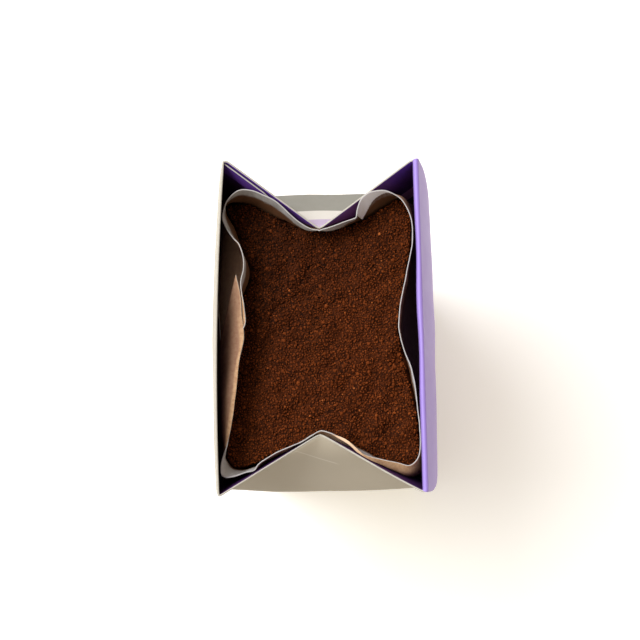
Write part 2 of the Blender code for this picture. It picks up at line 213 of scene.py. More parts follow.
@dataclass
class Pattern:
    """A mesh before it is made: points in millimetres, faces, and what is drawn on them."""

    name: str
    points: Array
    faces: Array
    corner_map: Array | None = None
    marks: dict[str, Array] = field(default_factory=dict)

    def make(self, shift: Array, smooth: bool = True) -> bpy.types.Object:
        """Puts the mesh into the scene.

        Args:
            shift: what moves the drafting frame onto the CAD, in millimetres.
            smooth: whether its faces are shaded smooth.

        Returns:
            The new object, at the origin.
        """
        mesh = bpy.data.meshes.new(self.name)
        sides = self.faces.shape[1]
        mesh.vertices.add(len(self.points))
        mesh.vertices.foreach_set("co", ((self.points + shift) * MM).astype(np.float32).ravel())
        mesh.loops.add(self.faces.size)
        mesh.loops.foreach_set("vertex_index", self.faces.astype(np.int32).ravel())
        mesh.polygons.add(len(self.faces))
        mesh.polygons.foreach_set("loop_start", np.arange(0, self.faces.size, sides, dtype=np.int32))
        mesh.update(calc_edges=True)
        if self.corner_map is not None:
            layer = mesh.uv_layers.new(name="blank")
            layer.data.foreach_set("uv", (self.corner_map * MM).astype(np.float32).ravel())
        for name, values in self.marks.items():
            mark = mesh.attributes.new(name, "FLOAT", "POINT")
            mark.data.foreach_set("value", values.astype(np.float32).ravel())
        mesh.polygons.foreach_set("use_smooth", np.full(len(self.faces), smooth))
        mesh.validate()
        piece = bpy.data.objects.new(self.name, mesh)
        bpy.context.scene.collection.objects.link(piece)
        return piece


def dress(piece: bpy.types.Object, materials: list[bpy.types.Material], node: str = "") -> None:
    """Gives a piece its materials and joins it to the CAD's body.

    Args:
        piece: the object.
        materials: its materials in slot order.
        node: the CAD node that it stands for, if any.
    """
    for material in materials:
        piece.data.materials.append(material)
    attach(piece, "root")
    if node:
        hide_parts(node)
    LOG.info("%s: %d points", piece.name, len(piece.data.vertices))


def give_wall(piece: bpy.types.Object, thickness: float) -> None:
    """Gives a sheet its thickness on the inner side, with the slots of Layer on the new faces."""
    wall = piece.modifiers.new("wall", "SOLIDIFY")
    wall.thickness = thickness * MM
    wall.offset = -1.0
    wall.use_even_offset = True
    wall.use_quality_normals = True
    wall.material_offset = Layer.INSIDE
    wall.material_offset_rim = Layer.CUT


# ---------------------------------------------------------------- materials


def tone(red: int, green: int, blue: int) -> tuple[float, float, float, float]:
    """A display colour from 0 to 255 as the linear colour that a shader takes."""
    parts = [value / 255.0 for value in (red, green, blue)]
    linear = [v / 12.92 if v <= 0.04045 else ((v + 0.055) / 1.055) ** 2.4 for v in parts]
    return (linear[0], linear[1], linear[2], 1.0)


class Recipe:
    """One material and short ways to add and join its nodes."""

    def __init__(self, name: str, roughness: float, specular: float = 0.5) -> None:
        """Starts from a plain surface with that roughness and specular level."""
        self.material = bpy.data.materials.new(name)
        self.material.use_nodes = True
        self.tree = self.material.node_tree
        self.surface = self.tree.nodes["Principled BSDF"]
        self.surface.inputs["Roughness"].default_value = roughness
        self.surface.inputs["Specular IOR Level"].default_value = specular

    def feed(self, socket: bpy.types.NodeSocket, value: Any) -> None:
        """Joins value to socket if it is a socket, and sets it there otherwise."""
        if isinstance(value, bpy.types.NodeSocket):
            self.tree.links.new(value, socket)
        elif value is not None:
            socket.default_value = value

    def node(self, kind: str, **settings: Any) -> bpy.types.Node:
        """A new node with its settings."""
        made = self.tree.nodes.new(kind)
        for name, value in settings.items():
            setattr(made, name, value)
        return made

    def number(self, operation: str, first: Any, second: Any = None, clamp: bool = False) -> Any:
        """A Math node on one or two numbers."""
        made = self.node("ShaderNodeMath", operation=operation, use_clamp=clamp)
        self.feed(made.inputs[0], first)
        self.feed(made.inputs[1], second)
        return made.outputs[0]

    def step(self, value: Any, low: Any, high: Any) -> Any:
        """0 where value is under low, 1 where it is over high, and a smooth rise between."""
        made = self.node("ShaderNodeMapRange", interpolation_type="SMOOTHSTEP")
        self.feed(made.inputs["Value"], value)
        self.feed(made.inputs["From Min"], low)
        self.feed(made.inputs["From Max"], high)
        return made.outputs["Result"]

    def spread(self, value: Any, low: float, high: float) -> Any:
        """A number from 0 to 1 spread evenly over low to high."""
        made = self.node("ShaderNodeMapRange")
        self.feed(made.inputs["Value"], value)
        made.inputs["To Min"].default_value = low
        made.inputs["To Max"].default_value = high
        return made.outputs["Result"]

    def between(self, value: Any, low: float, high: float, soft: float) -> Any:
        """1 where value is between low and high, with soft ends."""
        rise = self.step(value, low - soft, low + soft)
        fall = self.step(value, high - soft, high + soft)
        return self.number("SUBTRACT", rise, fall, clamp=True)

    def mix(self, share: Any, first: Any, second: Any, blend: str = "MIX") -> Any:
        """A mix of two colours."""
        made = self.node("ShaderNodeMix", data_type="RGBA", blend_type=blend)
        self.feed(made.inputs[0], share)
        self.feed(made.inputs[6], first)
        self.feed(made.inputs[7], second)
        return made.outputs[2]

    def ramp(self, value: Any, stops: list[tuple[float, tuple]]) -> Any:
        """A colour that runs through the stops, each a place and a colour."""
        made = self.node("ShaderNodeValToRGB")
        band = made.color_ramp
        while len(band.elements) < len(stops):
            band.elements.new(0.5)
        for element, (place, colour) in zip(band.elements, stops):
            element.position = place
            element.color = colour
        self.feed(made.inputs[0], value)
        return made.outputs[0]

    def place(self) -> Any:
        """The object's own coordinates, in metres."""
        return self.node("ShaderNodeTexCoord").outputs["Object"]

    def blank(self) -> tuple[Any, Any]:
        """The two coordinates of the flat blank, in millimetres: along it and down from its top."""
        source = self.node("ShaderNodeUVMap", uv_map="blank").outputs["UV"]
        parts = self.node("ShaderNodeSeparateXYZ")
        self.feed(parts.inputs[0], source)
        along = self.number("MULTIPLY", parts.outputs["X"], 1.0 / MM)
        down = self.number("MULTIPLY", parts.outputs["Y"], 1.0 / MM)
        return along, down

    def mark(self, name: str) -> Any:
        """The number painted on the mesh under that name."""
        return self.node("ShaderNodeAttribute", attribute_name=name).outputs["Fac"]

    def stretched(self, vector: Any, scale: tuple[float, float, float]) -> Any:
        """A vector scaled on its axes."""
        made = self.node("ShaderNodeMapping")
        self.feed(made.inputs["Vector"], vector)
        made.inputs["Scale"].default_value = scale
        return made.outputs[0]

    def noise(self, vector: Any, scale: float, detail: float = 3.0, rough: float = 0.55) -> Any:
        """Fractal noise from 0 to 1; scale is the number of waves in a metre."""
        made = self.node("ShaderNodeTexNoise")
        self.feed(made.inputs["Vector"], vector)
        made.inputs["Scale"].default_value = scale
        made.inputs["Detail"].default_value = detail
        made.inputs["Roughness"].default_value = rough
        return made.outputs[0]

    def colour(self, value: Any) -> None:
        """Sets the surface's colour."""
        self.feed(self.surface.inputs["Base Color"], value)

    def bump(self, height: Any, depth: float, strength: float = 1.0) -> None:
        """Adds relief of that depth, in metres, over any relief there is."""
        made = self.node("ShaderNodeBump")
        made.inputs["Strength"].default_value = strength
        made.inputs["Distance"].default_value = depth
        self.feed(made.inputs["Height"], height)
        earlier = self.surface.inputs["Normal"].links
        if earlier:
            self.feed(made.inputs["Normal"], earlier[0].from_socket)
        self.feed(self.surface.inputs["Normal"], made.outputs["Normal"])


@dataclass(frozen=True)
class PrintedBoard:
    """The carton's printed outer side: a colour to each face, bands on the back gusset whose lowest one is also
    darkened as painted shade, light wear.
    """

    lilac: tuple = tone(162, 136, 213)
    blush: tuple = tone(178, 158, 184)
    violet: tuple = tone(80, 52, 140)
    cream: tuple = tone(208, 202, 192)
    greige: tuple = tone(176, 166, 147)
    pale: tuple = tone(204, 194, 174)
    # grey: the back gusset's lowest band, a greige print made darker as painted shade.
    grey: tuple = tone(126, 123, 112)
    fibre: tuple = tone(232, 228, 220)
    folds: tuple[float, ...] = (0.0, 70.0, 170.0, 240.0, 340.0)  # where the blank is folded upright
    shoulder: float = 30.0  # where it is folded across, down from its top
    lilac_band: float = 7.1  # the back gusset's bands, down from the top
    cream_band: float = 14.7

    def material(self) -> bpy.types.Material:
        """Builds the nodes.

        Returns:
            The material.
        """
        mix = Recipe("printed_board", 0.42, 0.4)
        along, down = mix.blank()
        place = mix.place()
        back = mix.mix(mix.step(down, self.lilac_band - 0.12, self.lilac_band + 0.12), self.blush, self.cream)
        # The lowest band: greige print darkened as painted shade.
        back = mix.mix(mix.step(down, self.cream_band - 0.12, self.cream_band + 0.12), back, self.grey)
        right = self._wide(mix, along, down, 120.0, self.lilac, self.violet, self.cream)
        left = self._wide(mix, along, down, 290.0, self.greige, self.lilac, self.violet)
        colour = mix.mix(mix.step(along, self.folds[1] - 0.1, self.folds[1] + 0.1), back, right)
        front = mix.mix(mix.step(down, 1.0, 14.0), self.pale, self.greige)
        across = mix.number("SUBTRACT", along, 207.5)
        bow = mix.number("MULTIPLY", mix.number("MULTIPLY", across, across), -0.012)
        line = mix.number("ADD", mix.number("ADD", mix.number("MULTIPLY", across, 0.54), down), bow)
        scuff = mix.number("MULTIPLY", mix.between(line, 10.6, 11.0, 0.25), mix.between(across, -6.5, 6.5, 1.2))
        front = mix.mix(mix.number("MULTIPLY", scuff, 0.4), front, self.fibre)
        colour = mix.mix(mix.step(along, self.folds[2] - 0.1, self.folds[2] + 0.1), colour, front)
        colour = mix.mix(mix.step(along, self.folds[3] - 0.1, self.folds[3] + 0.1), colour, left)
        cloudy = mix.spread(mix.noise(place, 38.0, 4.0), 0.94, 1.04)
        tint = mix.node("ShaderNodeCombineColor")
        for channel in tint.inputs:
            mix.feed(channel, cloudy)
        colour = mix.mix(1.0, colour, tint.outputs[0], "MULTIPLY")
        colour = mix.mix(self._wear(mix, along, down, place), colour, self.fibre)
        mix.colour(colour)
        mix.feed(mix.surface.inputs["Roughness"], mix.spread(mix.noise(place, 260.0), 0.36, 0.52))
        mix.bump(mix.noise(mix.stretched(place, (1.0, 1.0, 0.35)), 900.0, 2.0), 0.00006, 0.35)
        mix.bump(mix.noise(place, 60.0, 2.0), 0.0006, 0.25)
        return mix.material

    def _wide(self, mix: Recipe, along: Any, down: Any, middle: float, base: tuple, low: tuple, line: tuple) -> Any:
        """A wide wall's print: a plain field, a darker foot under a thin line, and a bare oval.

        Args:
            mix: the material.
            along: place along the blank.
            down: place down from its top.
            middle: the wall's middle along the blank.
            base: the field's colour.
            low: the foot's colour.
            line: the line's and the oval's colour.

        Returns:
            The colour.
        """
        aside = mix.number("DIVIDE", mix.number("SUBTRACT", along, middle), 31.0)
        below = mix.number("DIVIDE", mix.number("SUBTRACT", down, 76.0), 22.0)
        reach = mix.number("ADD", mix.number("POWER", mix.number("ABSOLUTE", aside), 2.4),
                           mix.number("POWER", mix.number("ABSOLUTE", below), 2.4))
        colour = mix.mix(mix.step(down, 121.9, 122.1), base, line)
        colour = mix.mix(mix.step(down, 124.4, 124.6), colour, low)
        colour = mix.mix(mix.step(reach, 1.0, 0.985), colour, line)
        return mix.mix(mix.between(reach, 0.80, 0.86, 0.006), colour, low)

    def _wear(self, mix: Recipe, along: Any, down: Any, place: Any) -> Any:
        """How far the print is rubbed off: a broken line on each fold.

        Args:
            mix: the material.
            along: place along the blank.
            down: place down from its top.
            place: the object's coordinates.

        Returns:
            A share from 0 to 1.
        """
        near = mix.step(mix.number("ABSOLUTE", mix.number("SUBTRACT", down, self.shoulder)), 0.5, 0.1)
        for fold in self.folds:
            line = mix.step(mix.number("ABSOLUTE", mix.number("SUBTRACT", along, fold)), 0.55, 0.1)
            near = mix.number("MAXIMUM", near, line)
        broken = mix.step(mix.noise(place, 420.0, 4.0), 0.44, 0.66)
        return mix.number("MULTIPLY", mix.number("MULTIPLY", near, broken), 0.5)


@dataclass(frozen=True)
class PurpleLining:
    """The carton's inner side: deep purple print, lighter near the top of the back gusset as painted light, with a
    faint paler stripe near one fold.
    """

    # bright is painted light: the purple as it looks lit near the top of the back gusset.
    bright: tuple = tone(94, 58, 150)
    purple: tuple = tone(78, 42, 96)
    stripe: tuple = tone(196, 138, 172)

    def material(self) -> bpy.types.Material:
        """Builds the nodes.

        Returns:
            The material.
        """
        mix = Recipe("purple_lining", 0.5, 0.35)
        along, down = mix.blank()
        place = mix.place()
        stripe = mix.number("MULTIPLY", mix.between(down, 15.0, 21.5, 0.25), mix.step(along, 55.0, 63.0))
        stripe = mix.number("MULTIPLY", stripe, mix.step(along, 70.0, 69.8))
        # Painted light: brighter within the top 13 mm of the back gusset's inner side, darker below where shade falls.
        near = mix.number("MULTIPLY", mix.step(down, 13.0, 2.0), mix.step(along, 70.5, 69.5))
        ground = mix.mix(near, self.purple, self.bright)
        colour = mix.mix(mix.number("MULTIPLY", stripe, 0.85), ground, self.stripe)
        shade = mix.spread(mix.noise(place, 90.0, 3.0), 0.86, 1.1)
        grey = mix.node("ShaderNodeCombineColor")
        for channel in grey.inputs:
            mix.feed(channel, shade)
        mix.colour(mix.mix(1.0, colour, grey.outputs[0], "MULTIPLY"))
        mix.bump(mix.noise(place, 800.0, 2.0), 0.00005, 0.4)
        return mix.material


@dataclass(frozen=True)
class CutBoard:
    """The board's cut edge: pale pulp with a little grain."""

    pulp: tuple = tone(206, 200, 186)
    grey: tuple = tone(178, 172, 158)

    def material(self) -> bpy.types.Material:
        """Builds the nodes.

        Returns:
            The material.
        """
        mix = Recipe("cut_board", 0.8, 0.2)
        place = mix.place()
        mix.colour(mix.mix(mix.noise(place, 700.0, 4.0), self.pulp, self.grey))
        mix.bump(mix.noise(place, 2200.0, 2.0), 0.00008, 0.5)
        return mix.material


@dataclass(frozen=True)
class KraftPaper:
    """The bag's outer side: brown kraft with long fibres and soft creases, with purple-brown painted shade away from
    the rim, paler painted light on the lip and behind the tongue, and near-black painted shade deep on the right.
    """

    light: tuple = tone(210, 172, 130)
    dark: tuple = tone(182, 138, 100)
    # Painted shade: the purple-brown that kraft takes on in shade beside the purple board.
    painted_shade_mauve: tuple = tone(118, 78, 66)
    # Painted light: paler kraft where the paper should look lit.
    painted_light_tan: tuple = tone(240, 206, 170)
    # Painted shade: near black for kraft deep in shade.
    painted_dark_shade: tuple = tone(100, 78, 76)

    def material(self) -> bpy.types.Material:
        """Builds the nodes.

        Returns:
            The material.
        """
        mix = Recipe("kraft_paper", 0.72, 0.25)
        place = mix.place()
        fibre = mix.noise(mix.stretched(place, (1.0, 1.0, 0.25)), 900.0, 4.0, 0.65)
        cloud = mix.noise(place, 120.0, 3.0)
        colour = mix.mix(mix.step(fibre, 0.35, 0.7), self.light, self.dark)
        colour = mix.mix(mix.spread(cloud, 0.0, 0.35), colour, self.dark)
        # The mark holds painted light and shade: from 0 to 1 it mixes in painted shade, under 0 painted light, over 1
        # near-black painted shade.
        painted_light_shade = mix.mark("painted_light_shade")
        colour = mix.mix(mix.number("MULTIPLY", painted_light_shade, 0.72, clamp=True), colour, self.painted_shade_mauve)
        colour = mix.mix(mix.number("MULTIPLY", painted_light_shade, -1.0, clamp=True), colour, self.painted_light_tan)
        mix.colour(mix.mix(mix.number("SUBTRACT", painted_light_shade, 1.0, clamp=True), colour, self.painted_dark_shade))
        mix.bump(fibre, 0.00008, 0.5)
        mix.bump(mix.noise(mix.stretched(place, (1.0, 1.0, 0.4)), 190.0, 3.0), 0.0005, 0.35)
        return mix.material


@dataclass(frozen=True)
class SealPaper:
    """The bag's inner side: pale where it was sealed, brown with dust near the grounds, and near white as painted
    light on the upper side of the slanting fold.
    """

    # Painted light: near white for the lit upper side of the slanting fold.
    painted_light_white: tuple = tone(250, 248, 246)
    pale: tuple = tone(210, 208, 203)
    grey: tuple = tone(168, 164, 158)
    dust: tuple = tone(112, 76, 50)

    def material(self) -> bpy.types.Material:
        """Builds the nodes.

        Returns:
            The material.
        """
        mix = Recipe("seal_paper", 0.5, 0.4)
        place = mix.place()
        cloud = mix.noise(mix.stretched(place, (1.0, 1.0, 0.3)), 260.0, 4.0)
        colour = mix.mix(mix.step(cloud, 0.3, 0.75), self.pale, self.grey)
        speck = mix.noise(place, 1100.0, 3.0, 0.6)
        dust = mix.mark("dust")
        # Where the dust mark is under 0, painted light whitens the paper.
        colour = mix.mix(mix.number("MULTIPLY", dust, -0.8, clamp=True), colour, self.painted_light_white)
        ragged = mix.number("ADD", dust, mix.spread(speck, -0.28, 0.28))
        mix.colour(mix.mix(mix.step(ragged, 0.25, 0.95), colour, self.dust))
        mix.bump(mix.noise(mix.stretched(place, (1.0, 1.0, 0.35)), 300.0, 3.0), 0.0004, 0.35)
        return mix.material


@dataclass(frozen=True)
class CutPaper:
    """The bag's cut edge: bright paper with fine grain."""

    bright: tuple = tone(204, 200, 196)
    grey: tuple = tone(178, 172, 166)

    def material(self) -> bpy.types.Material:
        """Builds the nodes.

        Returns:
            The material.
        """
        mix = Recipe("cut_paper", 0.75, 0.25)
        mix.colour(mix.mix(mix.noise(mix.place(), 900.0, 3.0), self.bright, self.grey))
        return mix.material


@dataclass(frozen=True)
class GroundCoffee:
    """Ground coffee: each grain has its own brown, from near black to a warm orange-brown; its mark also carries
    painted shade towards the left and back and between the grains.
    """

    name: str
    browns: tuple[tuple[float, tuple], ...] = (
        (0.0, tone(30, 13, 5)),
        (0.3, tone(78, 36, 14)),
        (0.6, tone(118, 57, 23)),
        (0.88, tone(150, 77, 33)),
        (1.0, tone(180, 100, 48)),
    )
    relief: float = 0.00012

    def material(self) -> bpy.types.Material:
        """Builds the nodes.

        Returns:
            The material.
        """
        mix = Recipe(self.name, 0.8, 0.05)
        place = mix.place()
        # The mark holds each grain's own brown plus painted shade: darker to the left and back, and in the packed core
        # between the grains.
        own = mix.mark("roast_and_painted_shade")
        fine = mix.noise(place, 1500.0, 3.0, 0.6)
        spread = mix.number("ADD", own, mix.spread(fine, -0.16, 0.16), clamp=True)
        mix.colour(mix.ramp(spread, list(self.browns)))
        mix.bump(fine, self.relief, 0.7)
        return mix.material


@dataclass(frozen=True)
class FloorSheet:
    """The studio's pale matt floor, a little uneven in tone."""

    pale: tuple = (0.93, 0.925, 0.915, 1.0)
    warm: tuple = (0.91, 0.90, 0.885, 1.0)
    glow: tuple = (1.0, 0.92, 0.74, 1.0)
    glow_strength: float = 0.40

    def material(self) -> bpy.types.Material:
        """Builds the nodes.

        Returns:
            The material.
        """
        mix = Recipe("floor_sheet", 0.85, 0.1)
        mix.colour(mix.mix(mix.noise(mix.place(), 6.0, 2.0), self.pale, self.warm))
        mix.surface.inputs["Emission Color"].default_value = self.glow
        mix.surface.inputs["Emission Strength"].default_value = self.glow_strength
        return mix.material


# ---------------------------------------------------------------- the carton


@dataclass(frozen=True)
class CartonForm:
    """The carton's outer surface, and the surfaces that line it at any depth, in millimetres.

    A place on a face has two numbers. across runs from -1 to 1: from left to right on a gusset and
    from front to back on a wide wall. t is -1 at the base, 0 at the shoulder fold and 1 at the rim.
    """

    base_half: tuple[float, float] = (35.8, 49.5)
    base_edge: float = 1.0
    shoulder_z: float = 130.0
    lean: float = 30.0  # length of board above the shoulder fold
    wide_bulge: float = 2.4
    narrow_bulge: float = 1.1
    post_bulge: float = 0.8
    left_rim_bow: float = 1.4
    wing_bow: float = 0.6
    middle_y: float = 0.4
    blunt: tuple[float, float] = (50.9, 50.1)  # how far back the left and the right rear tips reach
    blunt_front: tuple[float, float] = (-50.7, -50.2)  # the same for the front tips
    crease: float = 0.022  # roundness of the gusset's creases, as a share of the lean
    shoulder_bulge: dict[Face, float] = field(
        default_factory=lambda: {Face.LEFT: 2.0, Face.RIGHT: 0.6, Face.BACK: 0.9, Face.FRONT: 1.3}
    )
    shoulder: dict[tuple[Face, Face], tuple] = field(
        default_factory=lambda: {
            (Face.BACK, Face.LEFT): (-35.1, 50.1),
            (Face.BACK, Face.RIGHT): (36.5, 48.7),
            (Face.FRONT, Face.RIGHT): (35.2, -49.0),
            (Face.FRONT, Face.LEFT): (-34.9, -48.8),
        }
    )
    rim: dict[tuple[Face, Face], tuple] = field(
        default_factory=lambda: {
            (Face.BACK, Face.LEFT): (-29.4, 52.0, 161.5),
            (Face.BACK, Face.RIGHT): (31.0, 51.8, 159.3),
            (Face.FRONT, Face.RIGHT): (29.8, -51.2, 159.3),
            (Face.FRONT, Face.LEFT): (-30.3, -50.9, 161.5),
        }
    )
    apex: dict[Face, tuple] = field(
        default_factory=lambda: {Face.BACK: (-0.3, 30.9, 153.0), Face.FRONT: (-1.1, -33.3, 155.0)}
    )

    def out(self, face: Face) -> Array:
        """The direction in which a face looks, seen from above."""
        ways = {Face.LEFT: (-1, 0), Face.RIGHT: (1, 0), Face.BACK: (0, 1), Face.FRONT: (0, -1)}
        return np.array(ways[face], float)

    def is_gusset(self, face: Face) -> bool:
        """Whether a face is one of the two that fold in."""
        return face in (Face.BACK, Face.FRONT)

    def ends(self, face: Face) -> tuple[tuple[Face, Face], tuple[Face, Face]]:
        """The corners at a face's across = -1 and 1."""
        if self.is_gusset(face):
            return (face, Face.LEFT), (face, Face.RIGHT)
        return (Face.FRONT, face), (Face.BACK, face)

    def shoulder_at(self, corner: tuple[Face, Face], inset: float) -> Array:
        """A shoulder corner when all walls are moved inwards by inset."""
        sign = self.out(corner[0]) + self.out(corner[1])
        move = 1.65 if inset > 0 else 1.0
        plan = np.array(self.shoulder[corner]) - sign * inset * np.array([1.0, move])
        return np.array([*plan, self.shoulder_z])

    def rim_at(self, corner: tuple[Face, Face], inset: float) -> Array:
        """A rim corner when all walls are moved inwards by inset."""
        sign = self.out(corner[0]) + self.out(corner[1])
        plan = np.array(self.rim[corner][:2]) - sign * inset * np.array([1.05, 1.75])
        return np.array([*plan, self.rim[corner][2]])

    def apex_at(self, face: Face, inset: float) -> Array:
        """A gusset's apex when all walls are moved inwards by inset."""
        x, y, z = self.apex[face]
        return np.array([x, y - self.out(face)[1] * inset * 1.3, z])

    def points(self, face: Face, across: Array, t: Array, inset: float = 0.0) -> Array:
        """Points of a face.

        Args:
            face: which face.
            across: places across it.
            t: places up it.
            inset: how far inside the outer surface, in millimetres.

        Returns:
            The points, with the shape of across and t together and xyz last.
        """
        across, t = np.broadcast_arrays(across, t)
        body = self._body(face, across, np.minimum(t, 0.0), inset)
        upper = np.maximum(t, 0.0)
        if self.is_gusset(face):
            top = self._gusset(face, across, upper, inset)
        else:
            top = self._wide(face, across, upper, inset)
        return np.where((t < 0)[..., None], body, top)

    def _body(self, face: Face, across: Array, t: Array, inset: float) -> Array:
        """Below the shoulder: straight between the corner folds, pushed out by the contents.

        The push is a half sine up the height plus a part that grows with the fourth power of the
        height, and both fade as 1 - across^2 towards the corners. The foot is a quarter round.
        """
        share = ((across + 1.0) / 2.0)[..., None]
        rise = (1.0 + t)[..., None]
        corners = self.ends(face)
        foot = [(self.out(c[0]) + self.out(c[1])) * (np.array(self.base_half) - inset) for c in corners]
        top = [self.shoulder_at(c, inset)[:2] for c in corners]
        low = foot[0] * (1 - share) + foot[1] * share
        high = top[0] * (1 - share) + top[1] * share
        plan = low * (1 - rise) + high * rise
        bulge = self.narrow_bulge if self.is_gusset(face) else self.wide_bulge
        push = bulge * np.sin(math.pi * rise) + self.shoulder_bulge[face] * rise**4
        plan = plan + self.out(face) * push * (1.0 - across[..., None] ** 2)
        z = self.shoulder_z * rise
        under = np.clip(1.0 - z / self.base_edge, 0.0, 1.0)
        plan = plan * (1.0 - self.base_edge * (1.0 - np.sqrt(1.0 - under**2)) / np.array(self.base_half))
        return np.concatenate([plan, z], axis=-1)

    def _gusset(self, face: Face, s: Array, t: Array, inset: float) -> Array:
        """Above the shoulder: a leaning triangle between two standing wings.

        Both are flat maps of the blank that agree on the crease t + |s| = 1, so the gusset is the
        triangle plus, beyond the crease, the difference of the two, which grows as a soft ramp.
        """
        corners = self.ends(face)
        feet = [self.shoulder_at(c, inset) for c in corners]
        tips = [self.rim_at(c, inset) for c in corners]
        apex = self.apex_at(face, inset)
        middle = (feet[0] + feet[1]) / 2.0
        side = s[..., None] > 0
        foot = np.where(side, feet[1], feet[0])
        tip = np.where(side, tips[1], tips[0])
        size = np.abs(s)[..., None]
        up = t[..., None]
        triangle = middle + size * (foot - middle) + up * (apex - middle)
        turn = tip - foot + middle - apex
        beyond = soft_ramp(size + up - 1.0, self.crease)
        beyond = beyond * smooth_step(up / 0.08) * (1.0 if inset == 0 else 1.0)
        shape = triangle + turn * beyond
        lean = np.clip(1.0 - t / np.maximum(1.0 - np.abs(s), 1e-9), 0.0, 1.0) * (1.0 - s**2)
        shape[..., 1] += self.out(face)[1] * self.shoulder_bulge[face] * lean
        reach = np.clip((np.abs(s) + t - 1.0) / np.maximum(t, 1e-9), 0.0, 1.0)
        shape[..., 0] += np.sign(s) * self.post_bulge * np.sin(math.pi * t) * reach
        if face is Face.FRONT:
            shape[..., 1] -= self.wing_bow * np.sin(math.pi * np.clip(s, 0.0, 1.0)) * reach
        return shape

    def _wide(self, face: Face, v: Array, t: Array, inset: float) -> Array:
        """Above the shoulder: straight from the shoulder to the rim, with a bulge that dies out upwards."""
        share = ((v + 1.0) / 2.0)[..., None]
        corners = self.ends(face)
        feet = [self.shoulder_at(c, inset) for c in corners]
        tips = [self.rim_at(c, inset) for c in corners]
        up = t[..., None]
        shape = (feet[0] * (1 - share) + feet[1] * share) * (1 - up)
        shape = shape + (tips[0] * (1 - share) + tips[1] * share) * up
        bow = self.left_rim_bow if face is Face.LEFT else 0.0
        push = (self.shoulder_bulge[face] * (1 - t) + bow * t) * (1.0 - v**2)
        shape[..., 0] += self.out(face)[0] * (push + self.post_bulge * np.sin(math.pi * t))
        return shape

    def shift(self) -> Array:
        """What moves the drafting frame onto the CAD: the box of both is centred over the origin."""
        mids = np.array([0.0, self.middle_y])
        reach = []
        for face in (Face.LEFT, Face.RIGHT):
            line = self._body(face, np.array([0.0]), np.array([-0.5]), 0.0)
            reach.append(line[0, 0])
        mids[0] = sum(reach) / 2.0
        low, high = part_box("carton")
        centre = (np.array(low[:2]) + np.array(high[:2])) / 2.0 / MM
        return np.array([*(centre - mids), 0.0])


